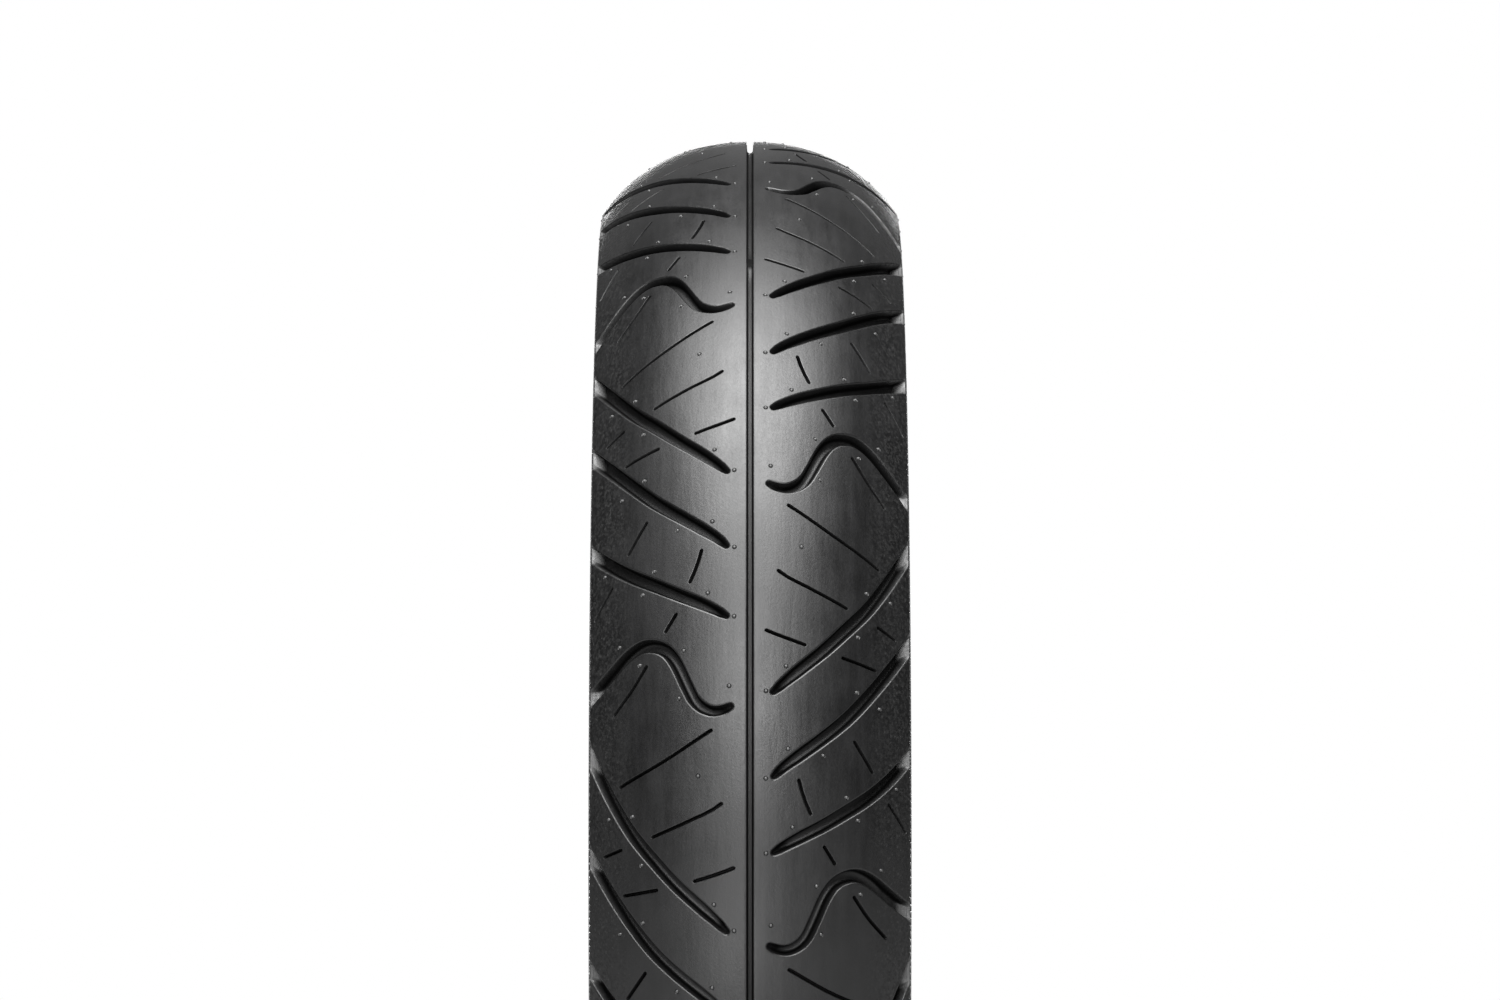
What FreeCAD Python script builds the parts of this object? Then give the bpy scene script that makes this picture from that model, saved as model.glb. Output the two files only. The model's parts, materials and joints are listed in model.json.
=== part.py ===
"""Motorcycle tyre 130/70-17, bias-belted and tubeless, as its separate layers and rings.

Row frame: the wheel's axis lies along Y and the origin is the wheel's centre, with Z up.
Every ring is drawn in the (y, r) half-plane and turned round the Y axis. Lengths are in millimetres.
"""

import FreeCAD, Part
import math
import os

V = FreeCAD.Vector

# ---- Driving dimensions -------------------------------------------------------------------------
SECTION_WIDTH = 130.0
ASPECT_RATIO = 0.70
RIM_DIAMETER = 432.0  # nominal 17 in seat
RIM_WIDTH = 89.0  # between the flanges of a 3.50 in rim
FLANGE_CURVE_R = 10.0  # the bead's outer side follows the rim flange's curve
SECTION_HEIGHT = SECTION_WIDTH * ASPECT_RATIO
OUTER_R = RIM_DIAMETER / 2 + SECTION_HEIGHT
SEAT_R = RIM_DIAMETER / 2

# Crown: a flatter middle arc and a rounder arc on each side, measured along the surface as u
CROWN_MID_R = 94.0
CROWN_MID_HALF = 24.0  # half-width of the middle arc
CROWN_SIDE_R = 71.5
SHOULDER_U = 75.0  # the tread's edge, along the surface from the centre line

# Layer thicknesses, from the road inwards
CAP_T = 6.6
BASE_T = 1.4
BREAKER_T = 0.8
PLY_T = 0.8
LINER_T = 1.1
CHAFER_T = 0.5
WRAP_T = 0.4

# Bead bundle: one wire wound in rows
WIRE_D = 1.25
WIRE_PITCH = 1.4
WIRES_WIDE = 4
WIRES_HIGH = 3
SEAT_TO_CORE = 3.8  # rubber and fabric under the bundle
CORE_TO_FLANGE = 3.2
CORNER_R = 0.9  # of the wrapped bundle

# Carcass line, as turns in degrees
SHOULDER_ARC_R = 22.0
BEAD_SLOPE = 55.0  # the carcass meets the bead this far from upright
BEAD_SLOPE_R = 6.0
TURN_UP_TURN = 50.0
OUTER_TURN_UP = 5.0  # the outer ply's turn-up runs this far past the flange curve

# Sidewall
WIDEST_R = SEAT_R + 49.0
TOE_Y = 32.0
LINER_END_R = SEAT_R + 7.0
HEEL_R = 3.5
TOE_BEVEL = 0.8
CHAFER_END_TURN = 32.0
RIM_STRIP_END_TURN = 40.0
BREAKER_OUTER_EDGE = 46.0  # crown angles, in degrees from the centre line
BREAKER_INNER_EDGE = 49.0

# Tread pattern: one side's pitch, as (u in mm from the centre line, degrees round the tyre)
PITCHES = 10
PITCH = 360.0 / PITCHES
RIGHT_PHASE = 7.3
LEFT_PHASE = RIGHT_PHASE + PITCH / 2
GROOVE_DEPTH = 5.0
GROOVE_DRAFT = 0.1  # half-width lost per mm of depth
TAPER_LENGTH = 13.0  # of a groove's inner end
TAPER_WIDTH_SHARE = 0.78  # width at the taper's end, over the middle's
TAPER_POWER = 0.7
TIP_RISE_LENGTH = 4.0  # the floor rises over this length at the tip
TIP_DEPTH_SHARE = 0.6
RAMP_LENGTH = 8.5  # the floor runs out to the tread's edge over this length
RAMP_OVERRUN = 0.4
SIPE_DEPTH = 3.2
SIPE_WIDTH = 1.1
SIPE_DRAFT = 0.02
SIPE_STATIONS = 4
CUTTER_TOP = 1.2  # the cutters stand this far above the surface
CENTRE_GROOVE_WIDTH = 2.9
CENTRE_GROOVE_FLOOR = 2.0
CENTRE_GROOVE_DEPTH = 5.1
WEAR_BARS = 5
WEAR_BAR_HEIGHT = 1.2
WEAR_BAR_ROOT = 1.0  # the uncut stretch starts this far under the groove's floor
WEAR_BAR_LENGTH = 8.0
WEAR_BAR_PHASE = 37.9

# Each groove's centre line, then its width at the tip, along the middle and at the shoulder
GROOVES = {
    "sweep_1": (
        [(8.6, 0.1), (14, -0.95), (22, -2.1), (35, -4.3), (50, -7.15), (62, -10.1), (75, -13.8)],
        (1.6, 5.2, 6.4),
    ),
    "sweep_2": (
        [(8.6, 6.5), (14, 5.65), (22, 4.65), (35, 2.85), (50, 0.45), (62, -2.0), (75, -5.0)],
        (1.6, 5.2, 6.4),
    ),
    "sweep_3": (
        [(8.8, 12.2), (14, 11.5), (22, 10.7), (35, 9.5), (50, 7.85), (62, 6.15), (75, 4.1)],
        (1.6, 5.2, 6.4),
    ),
    "wave": (
        [(7, 18.7), (11, 19.15), (16, 19.3), (21, 18.85), (25, 17.7), (28.5, 16.2), (32, 15.05), (37, 14.2),
         (44, 13.85), (52, 14.35), (62, 15.6), (75, 17.2)],
        (2.4, 4.6, 6.4),
    ),
}
SIPES = [
    [(15.3, -15.2), (35, -13.0), (56.5, -11.1)],
    [(11.3, -9.7), (25, -8.4), (40.5, -7.1)],
    [(5.8, -4.9), (14, -4.35), (22.8, -3.8)],
    [(38.5, -3.05), (46, -2.7), (54.5, -2.35)],
    [(55, -6.1), (60, -5.8), (65.5, -5.45)],
    [(44, 3.5), (48, 4.6), (52.8, 5.9)],
    [(19.8, 6.6), (21.8, 7.8), (24.8, 9.2)],
    [(30, 11.6), (32.3, 12.3), (34.8, 13.1)],
    [(61.5, 8.2), (66.5, 9.3), (72, 10.5)],
    [(43.5, 15.5), (51, 17.1), (60, 19.1)],
]

# ---- Derived sizes ------------------------------------------------------------------------------
BREAKER_TOP = CAP_T + BASE_T
CARCASS_DEPTH = BREAKER_TOP + 2 * BREAKER_T
MID_ANGLE = math.degrees(math.asin(CROWN_MID_HALF / CROWN_MID_R))
MID_U = CROWN_MID_R * math.radians(MID_ANGLE)
SHOULDER_ANGLE = MID_ANGLE + math.degrees((SHOULDER_U - MID_U) / CROWN_SIDE_R)
FLANGE_Y = RIM_WIDTH / 2
CORE_W = WIRES_WIDE * WIRE_PITCH
CORE_H = WIRES_HIGH * WIRE_PITCH
CORE_Y1 = FLANGE_Y - CORE_TO_FLANGE
CORE_Y0 = CORE_Y1 - CORE_W
CORE_R0 = SEAT_R + SEAT_TO_CORE
CORE_R1 = CORE_R0 + CORE_H
WRAP_Y0 = CORE_Y0 - WRAP_T
WRAP_Y1 = CORE_Y1 + WRAP_T
WRAP_R0 = CORE_R0 - WRAP_T
WRAP_R1 = CORE_R1 + WRAP_T
FLANGE_CENTRE = (FLANGE_Y + FLANGE_CURVE_R, WRAP_R1 - CORNER_R)  # of the curve at the bead's outer side
# The sidewall's arc is upright at the widest place and tangent to the flange curve
INSET = FLANGE_CENTRE[0] - SECTION_WIDTH / 2
DROP = WIDEST_R - FLANGE_CENTRE[1]
SIDE_ARC_R = (INSET ** 2 + DROP ** 2 - FLANGE_CURVE_R ** 2) / (2 * (FLANGE_CURVE_R - INSET))
SIDE_CENTRE = (SECTION_WIDTH / 2 - SIDE_ARC_R, WIDEST_R)


def profile_point(y, r):
    return V(0, y, r)


class Path:
    """A tangent path of arcs and lines in the (y, r) plane. Turns are in degrees, positive to the left.

    An offset moves it to the right: towards the air cavity at the crown, away from the bead bundle at the bead.
    A place on it is a number: 2.5 is halfway along segment 2.
    """

    def __init__(self, start, heading, steps, offset=0.0):
        self.steps = steps
        self.start = start
        self.heading = heading
        self.segments = []
        a = math.radians(heading)
        y, r = start[0] + offset * math.sin(a), start[1] - offset * math.cos(a)
        for kind, size, turn in steps:
            if kind == "line":
                end = (y + size * math.cos(a), r + size * math.sin(a))
                self.segments.append(("line", (y, r), end, 0.0, 0.0))
                y, r = end
                continue
            side = 1 if turn > 0 else -1
            radius = size + side * offset
            centre = (y - side * radius * math.sin(a), r + side * radius * math.cos(a))
            first = math.atan2(r - centre[1], y - centre[0])
            a += math.radians(turn)
            last = first + math.radians(turn)
            self.segments.append(("arc", centre, radius, first, last))
            y, r = centre[0] + radius * math.cos(last), centre[1] + radius * math.sin(last)
        self.end_heading = math.degrees(a)

    def shifted(self, offset):
        return Path(self.start, self.heading, self.steps, offset)

    def at(self, place):
        i = min(int(place), len(self.segments) - 1)
        share = place - i
        kind, a, b, first, last = self.segments[i]
        if kind == "line":
            return (a[0] + (b[0] - a[0]) * share, a[1] + (b[1] - a[1]) * share)
        angle = first + (last - first) * share
        return (a[0] + b * math.cos(angle), a[1] + b * math.sin(angle))

    def edges(self, begin, end):
        """The edges between two places."""
        found = []
        for i in range(int(begin), math.ceil(end)):
            lo, hi = max(begin, i), min(end, i + 1)
            p, q = self.at(lo), self.at(hi)
            if self.segments[i][0] == "line":
                found.append(line(p, q))
            else:
                found.append(arc(p, self.at((lo + hi) / 2), q))
        return found


def line(p, q):
    return Part.LineSegment(profile_point(*p), profile_point(*q)).toShape()


def arc(p, middle, q):
    return Part.Arc(profile_point(*p), profile_point(*middle), profile_point(*q)).toShape()


def arc_about(centre, radius, first, last):
    """An arc between two angles in degrees, counted from +y towards +r."""
    points = [
        (centre[0] + radius * math.cos(math.radians(a)), centre[1] + radius * math.sin(math.radians(a)))
        for a in (first, (first + last) / 2, last)
    ]
    return arc(*points)


def mirrored(edges):
    return [e.mirror(V(0, 0, 0), V(0, 1, 0)) for e in edges]


def ring(edges):
    """The solid that a closed outline sweeps round the wheel's axis."""
    face = Part.Face(Part.Wire(Part.__sortEdges__(edges)))
    solid = face.revolve(V(0, 0, 0), V(0, 1, 0), 360)
    if solid.Volume < 0:
        solid.reverse()
    return solid


def both_sides(edges):
    """The ring of an outline that is open at the centre line, closed with its mirror image."""
    return ring(edges + mirrored(edges))


def left_of(shape):
    return shape.mirror(V(0, 0, 0), V(0, 1, 0))


# ---- The crown and the carcass line -------------------------------------------------------------
def crown(depth):
    """The crown's outline at a depth below the tread surface, from the centre line to the shoulder angle."""
    steps = [
        ("arc", CROWN_MID_R, -MID_ANGLE),
        ("arc", CROWN_SIDE_R, -(SHOULDER_ANGLE - MID_ANGLE)),
    ]
    return Path((0.0, OUTER_R), 0.0, steps, depth)


def crown_place(angle):
    """The place on a crown path at an angle from the centre line."""
    return 1 + (angle - MID_ANGLE) / (SHOULDER_ANGLE - MID_ANGLE)


def carcass_line():
    """The outer ply's face, from the crown's centre line to the end of its turn-up."""
    side_r = CROWN_SIDE_R - CARCASS_DEPTH
    shoulder_end = 90 + BEAD_SLOPE
    crown_steps = [
        ("arc", CROWN_MID_R - CARCASS_DEPTH, -MID_ANGLE),
        ("arc", side_r, -(SHOULDER_ANGLE - MID_ANGLE)),
        ("arc", SHOULDER_ARC_R, -(shoulder_end - SHOULDER_ANGLE)),
    ]
    start = (0.0, OUTER_R - CARCASS_DEPTH)
    upper = Path(start, 0.0, crown_steps)
    y, r = upper.at(len(crown_steps))
    slope = math.radians(BEAD_SLOPE)
    bend_y = BEAD_SLOPE_R * (1 - math.cos(slope))
    bend_r = BEAD_SLOPE_R * math.sin(slope)
    down = (y - bend_y - WRAP_Y0) / math.sin(slope)
    upright = r - down * math.cos(slope) - bend_r - (WRAP_R0 + CORNER_R)
    steps = crown_steps + [
        ("line", down, 0),
        ("arc", BEAD_SLOPE_R, BEAD_SLOPE),
        ("line", upright, 0),
        ("arc", CORNER_R, 90),
        ("line", WRAP_Y1 - WRAP_Y0 - 2 * CORNER_R, 0),
        ("arc", CORNER_R, 90),
        ("line", WRAP_R1 - WRAP_R0 - 2 * CORNER_R, 0),
        ("arc", FLANGE_CURVE_R + FLANGE_Y - WRAP_Y1, -TURN_UP_TURN),
        ("line", OUTER_TURN_UP, 0),
    ]
    return Path(start, 0.0, steps)


# Places on the carcass line
SLOPE_START, SLOPE_END = 3, 4
BEND_END = 5
TURN_UP_START, TURN_UP_END = 10, 11
CARCASS_END = 12


# ---- Rubber and fabric rings --------------------------------------------------------------------
def crown_layer(top, bottom, edge):
    """A layer between two depths, out to the same angle on both sides."""
    upper, lower = crown(top), crown(bottom)
    place = crown_place(edge)
    return both_sides(
        upper.edges(0, place) + [line(upper.at(place), lower.at(place))] + lower.edges(0, place)
    )


def tread_base():
    """The soft layer under the cap. It steps down past the outer breaker's edge."""
    top, over, beside = crown(CAP_T), crown(BREAKER_TOP), crown(BREAKER_TOP + BREAKER_T)
    edge = crown_place(BREAKER_OUTER_EDGE)
    return both_sides(
        top.edges(0, 2)
        + [line(top.at(2), beside.at(2))]
        + beside.edges(edge, 2)
        + [line(beside.at(edge), over.at(edge))]
        + over.edges(0, edge)
    )


def breaker_cushion():
    """The gum strip between the tread base and the outer ply, past the inner breaker's edge."""
    upper, lower = crown(BREAKER_TOP + BREAKER_T), crown(CARCASS_DEPTH)
    edge = crown_place(BREAKER_INNER_EDGE)
    return ring(
        upper.edges(edge, 2)
        + [line(upper.at(2), lower.at(2))]
        + lower.edges(edge, 2)
        + [line(lower.at(edge), upper.at(edge))]
    )


def ply(path, outer, inner, end):
    """A carcass ply from one turn-up, under the bead and round the crown to the other."""
    near, far = path.shifted(outer), path.shifted(inner)
    return both_sides(near.edges(0, end) + [line(near.at(end), far.at(end))] + far.edges(0, end))


def inner_liner(path):
    """The airtight skin of the cavity, down to a level cut above each toe."""
    near, far = path.shifted(2 * PLY_T), path.shifted(2 * PLY_T + LINER_T)
    end = BEND_END + liner_share(path)
    return both_sides(near.edges(0, end) + [line(near.at(end), far.at(end))] + far.edges(0, end))


def liner_share(path):
    """How far down the upright run beside the bead the liner ends."""
    top, bottom = path.at(BEND_END), path.at(BEND_END + 1)
    return (top[1] - LINER_END_R) / (top[1] - bottom[1])


def chafer_cloth(path):
    """The woven strip round the bead's base, from the liner's end to the flange curve."""
    near, far = path.shifted(2 * PLY_T), path.shifted(2 * PLY_T + CHAFER_T)
    begin = BEND_END + liner_share(path)
    end = TURN_UP_START + CHAFER_END_TURN / TURN_UP_TURN
    return ring(
        near.edges(begin, end)
        + [line(near.at(end), far.at(end))]
        + far.edges(begin, end)
        + [line(far.at(begin), near.at(begin))]
    )


def rim_strip(path):
    """The hard rubber of the toe, the seat and the heel, outside the chafer cloth."""
    ply_face, cloth_face = path.shifted(2 * PLY_T), path.shifted(2 * PLY_T + CHAFER_T)
    skin = path.shifted(2 * PLY_T + LINER_T)
    begin = BEND_END + liner_share(path)
    cloth_end = TURN_UP_START + CHAFER_END_TURN / TURN_UP_TURN
    end = TURN_UP_START + RIM_STRIP_END_TURN / TURN_UP_TURN
    centre = FLANGE_CENTRE
    turned = 180 - RIM_STRIP_END_TURN
    top = arc_about(centre, FLANGE_CURVE_R, 180, turned)
    toe = (TOE_Y, SEAT_R + TOE_BEVEL)
    seat_start, seat_end = (TOE_Y + TOE_BEVEL, SEAT_R), (FLANGE_Y - HEEL_R, SEAT_R)
    heel = arc_about((FLANGE_Y - HEEL_R, SEAT_R + HEEL_R), HEEL_R, 270, 360)
    outer_end = top.valueAt(top.LastParameter)
    return ring(
        [
            line(cloth_face.at(begin), skin.at(begin)),
            line(skin.at(begin), toe),
            line(toe, seat_start),
            line(seat_start, seat_end),
            heel,
            line((FLANGE_Y, SEAT_R + HEEL_R), (FLANGE_Y, centre[1])),
            top,
            line((outer_end.y, outer_end.z), ply_face.at(end)),
            line(ply_face.at(cloth_end), cloth_face.at(cloth_end)),
        ]
        + ply_face.edges(cloth_end, end)
        + cloth_face.edges(begin, cloth_end)
    )


def apex_edges(path):
    """The turn-up's far corner and the point square across from it on the carcass."""
    tip = path.at(CARCASS_END)
    a = math.radians(path.end_heading)
    p, q = path.at(SLOPE_START), path.at(SLOPE_END)
    along = (q[0] - p[0], q[1] - p[1])
    across = (-math.sin(a), math.cos(a))
    det = along[0] * -across[1] + across[0] * along[1]
    dy, dr = tip[0] - p[0], tip[1] - p[1]
    share = (dy * -across[1] + across[0] * dr) / det
    return tip, SLOPE_START + share


def sidewall(path):
    """The outer rubber, from the tread's edge down to the rim strip."""
    centre = FLANGE_CENTRE
    shoulder, cushion_end = crown(0).at(2), path.at(2)
    strip_end = TURN_UP_START + RIM_STRIP_END_TURN / TURN_UP_TURN
    inner_ply, outer_ply = path.shifted(2 * PLY_T), path.shifted(PLY_T)
    tip, meeting = apex_edges(path)
    dy, dr = centre[0] - SIDE_CENTRE[0], centre[1] - SIDE_CENTRE[1]
    touch = math.degrees(math.atan2(dr, dy))
    flange = arc_about(centre, FLANGE_CURVE_R, 180 - RIM_STRIP_END_TURN, 180 + touch)
    side = arc_about(SIDE_CENTRE, SIDE_ARC_R, touch, 0)
    widest = (SECTION_WIDTH / 2, WIDEST_R)
    start = flange.valueAt(flange.FirstParameter)
    if start.z > flange.valueAt(flange.LastParameter).z:
        start = flange.valueAt(flange.LastParameter)
    return ring(
        [
            line(cushion_end, shoulder),
            line(shoulder, widest),
            side,
            flange,
            line((start.y, start.z), inner_ply.at(strip_end)),
            line(inner_ply.at(TURN_UP_END), outer_ply.at(TURN_UP_END)),
            line(outer_ply.at(CARCASS_END), tip),
            line(tip, path.at(meeting)),
        ]
        + inner_ply.edges(strip_end, TURN_UP_END)
        + outer_ply.edges(TURN_UP_END, CARCASS_END)
        + path.edges(2, meeting)
    )


def wrap_corners():
    """The wrapped bundle's rounded outline, as its top edges and the rest."""
    y0, y1 = WRAP_Y0 + CORNER_R, WRAP_Y1 - CORNER_R
    r0, r1 = WRAP_R0 + CORNER_R, WRAP_R1 - CORNER_R
    top = [
        arc_about((y0, r1), CORNER_R, 180, 90),
        line((y0, WRAP_R1), (y1, WRAP_R1)),
        arc_about((y1, r1), CORNER_R, 90, 0),
    ]
    rest = [
        line((WRAP_Y1, r1), (WRAP_Y1, r0)),
        arc_about((y1, r0), CORNER_R, 0, -90),
        line((y1, WRAP_R0), (y0, WRAP_R0)),
        arc_about((y0, r0), CORNER_R, 270, 180),
        line((WRAP_Y0, r0), (WRAP_Y0, r1)),
    ]
    return top, rest


def apex(path):
    """The stiff wedge above the bead bundle, between the carcass and its turn-up."""
    tip, meeting = apex_edges(path)
    top, _ = wrap_corners()
    bundle_top = (WRAP_Y0, WRAP_R1 - CORNER_R)
    bend = path.at(BEND_END)
    return ring(
        [line(tip, path.at(meeting)), line(bend, bundle_top)]
        + path.edges(meeting, BEND_END)
        + top
        + path.edges(TURN_UP_START, CARCASS_END)
    )


# ---- Bead bundle --------------------------------------------------------------------------------
def core_outline():
    corners = [(CORE_Y0, CORE_R0), (CORE_Y1, CORE_R0), (CORE_Y1, CORE_R1), (CORE_Y0, CORE_R1)]
    return [line(p, q) for p, q in zip(corners, corners[1:] + corners[:1])]


def bead_wrap():
    """The rubbered tape round the bundle."""
    top, rest = wrap_corners()
    outside = Part.Wire(Part.__sortEdges__(top + rest))
    inside = Part.Wire(Part.__sortEdges__(core_outline()))
    return Part.Face([outside, inside]).revolve(V(0, 0, 0), V(0, 1, 0), 360)


def bead_wires():
    """Every turn of the bead wire, as separate rings."""
    turns = []
    for row in range(WIRES_HIGH):
        for column in range(WIRES_WIDE):
            y = CORE_Y0 + (column + 0.5) * WIRE_PITCH
            r = CORE_R0 + (row + 0.5) * WIRE_PITCH
            turn = Part.makeTorus(r, WIRE_D / 2, V(0, y, 0), V(0, 1, 0))
            turns.append(turn)
    return Part.makeCompound(turns)


def bead_insulation(wires):
    """The rubber between the turns of wire."""
    return ring(core_outline()).cut(wires.Solids)


# ---- Tread pattern ------------------------------------------------------------------------------
def crown_frame(u, angle):
    """The surface point u mm from the centre line, with its outward normal and two surface directions."""
    if abs(u) < MID_U:
        tilt = abs(u) / CROWN_MID_R
        y, r = CROWN_MID_R * math.sin(tilt), OUTER_R - CROWN_MID_R * (1 - math.cos(tilt))
    else:
        tilt = math.radians(MID_ANGLE) + (abs(u) - MID_U) / CROWN_SIDE_R
        shift = CROWN_MID_R - CROWN_SIDE_R
        y = shift * math.sin(math.radians(MID_ANGLE)) + CROWN_SIDE_R * math.sin(tilt)
        r = OUTER_R - CROWN_MID_R + shift * math.cos(math.radians(MID_ANGLE)) + CROWN_SIDE_R * math.cos(tilt)
    side = 1 if u >= 0 else -1
    a = math.radians(angle)
    outwards, forwards = V(math.sin(a), 0, math.cos(a)), V(math.cos(a), 0, -math.sin(a))
    point = outwards * r + V(0, side * y, 0)
    normal = outwards * math.cos(tilt) + V(0, side * math.sin(tilt), 0)
    across = V(0, side * math.cos(tilt), 0) - outwards * math.sin(tilt)
    return point, normal, across, forwards


def smooth_points(points, count):
    """Evenly spaced points, with their directions, on the curve through the points."""
    curve = Part.BSplineCurve()
    curve.interpolate([V(u, math.radians(angle) * OUTER_R, 0) for u, angle in points])
    total = curve.length()
    found = []
    for i in range(count):
        s = total * i / (count - 1)
        t = curve.parameterAtDistance(s, curve.FirstParameter)
        p, d = curve.value(t), curve.tangent(t)[0]
        found.append((p.x, math.degrees(p.y / OUTER_R), d.x, d.y, s, total))
    return found


def groove_width(s, total, widths):
    """Width s mm along a groove of that length: a blade-like tip, a long even middle, a wider end."""
    tip, middle, end = widths
    after_taper = TAPER_WIDTH_SHARE * middle
    if s < TAPER_LENGTH:
        return tip + (after_taper - tip) * (s / TAPER_LENGTH) ** TAPER_POWER
    share = (s - TAPER_LENGTH) / (total - TAPER_LENGTH)
    if share < 0.5:
        return after_taper + (middle - after_taper) * share / 0.5
    return middle + (end - middle) * (share - 0.5) / 0.5


def groove_floor(s, u):
    """Height of a groove's floor: it rises at the inner tip, and runs out at the shoulder."""
    if s < TIP_RISE_LENGTH:
        return -GROOVE_DEPTH * (TIP_DEPTH_SHARE + (1 - TIP_DEPTH_SHARE) * s / TIP_RISE_LENGTH)
    past = u - (SHOULDER_U - RAMP_LENGTH)
    if past > 0:
        return -GROOVE_DEPTH + (GROOVE_DEPTH + RAMP_OVERRUN) * past / RAMP_LENGTH
    return -GROOVE_DEPTH


def cutter(stations, phase, side, width_at, floor_at, draft):
    """The solid that cuts one groove or sipe: trapezia square to its centre line, lofted along it."""
    sections = []
    for u, angle, du, dv, s, total in stations:
        point, normal, across, forwards = crown_frame(side * u, angle + phase)
        sideways = forwards * du - across * dv
        half = width_at(s, total) / 2
        floor = floor_at(s, u)
        above = half + CUTTER_TOP * draft
        below = half + floor * draft
        corners = [
            point + sideways * above + normal * CUTTER_TOP,
            point - sideways * above + normal * CUTTER_TOP,
            point - sideways * below + normal * floor,
            point + sideways * below + normal * floor,
        ]
        sections.append(Part.makePolygon(corners + corners[:1]))
    return Part.makeLoft(sections, True, False)


def groove_cutter(points, widths, phase, side):
    stations = smooth_points(points, 2 * len(points) - 1)
    return cutter(stations, phase, side, lambda s, total: groove_width(s, total, widths), groove_floor, GROOVE_DRAFT)


def sipe_cutter(points, phase, side):
    stations = smooth_points(points, SIPE_STATIONS)
    return cutter(stations, phase, side, lambda s, total: SIPE_WIDTH, lambda s, u: -SIPE_DEPTH, SIPE_DRAFT)


def groove_cutters():
    cutters = []
    for side, start in ((1, RIGHT_PHASE), (-1, LEFT_PHASE)):
        for n in range(PITCHES):
            phase = start + n * PITCH
            for points, widths in GROOVES.values():
                cutters.append(groove_cutter(points, widths, phase, side))
            for points in SIPES:
                cutters.append(sipe_cutter(points, phase, side))
    return cutters


def centre_groove():
    """The ring cut along the centre line, with gaps where the wear bars stand."""
    top, floor = OUTER_R + CUTTER_TOP, OUTER_R - CENTRE_GROOVE_DEPTH
    wide, narrow = CENTRE_GROOVE_WIDTH / 2, CENTRE_GROOVE_FLOOR / 2
    corners = [(-wide, top), (wide, top), (narrow, floor), (-narrow, floor)]
    groove = ring([line(p, q) for p, q in zip(corners, corners[1:] + corners[:1])])
    bars = []
    for n in range(WEAR_BARS):
        corner = V(-WEAR_BAR_LENGTH / 2, -wide, floor - WEAR_BAR_ROOT)
        bar = Part.makeBox(WEAR_BAR_LENGTH, 2 * wide, WEAR_BAR_HEIGHT + WEAR_BAR_ROOT, corner)
        bar.rotate(V(0, 0, 0), V(0, 1, 0), WEAR_BAR_PHASE + n * 360.0 / WEAR_BARS)
        bars.append(bar)
    return groove.cut(bars)


def tread_cap():
    """The road-going rubber, with its grooves and sipes cut."""
    return crown_layer(0, CAP_T, SHOULDER_ANGLE).cut(groove_cutters() + [centre_groove()])


def main():
    os.makedirs("parts", exist_ok=True)
    path = carcass_line()
    wires = bead_wires()
    paired = {
        "breaker_cushion": breaker_cushion(),
        "sidewall": sidewall(path),
        "rim_strip": rim_strip(path),
        "chafer_cloth": chafer_cloth(path),
        "apex": apex(path),
        "bead_wrap": bead_wrap(),
        "bead_wires": wires,
        "bead_insulation": bead_insulation(wires),
    }
    nodes = {
        "tread_cap": tread_cap(),
        "tread_base": tread_base(),
        "breaker_outer": crown_layer(BREAKER_TOP, BREAKER_TOP + BREAKER_T, BREAKER_OUTER_EDGE),
        "breaker_inner": crown_layer(BREAKER_TOP + BREAKER_T, CARCASS_DEPTH, BREAKER_INNER_EDGE),
        "ply_outer": ply(path, 0, PLY_T, CARCASS_END),
        "ply_inner": ply(path, PLY_T, 2 * PLY_T, TURN_UP_END),
        "inner_liner": inner_liner(path),
    }
    for name, shape in paired.items():
        nodes[name + "_right"] = shape
        nodes[name + "_left"] = left_of(shape)
    for name, shape in nodes.items():
        shape.exportStep("parts/" + name + ".step")
        solids = shape.Solids
        good = all(s.isValid() and s.Volume > 0 for s in solids)
        print(name, len(solids), "solids", round(shape.Volume / 1000, 1), "cm3", "ok" if good else "BAD")


main()
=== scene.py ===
import json
import math

import bmesh
import bpy
import numpy as np
from mathutils import Matrix, Vector
from mathutils.geometry import delaunay_2d_cdt


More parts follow.
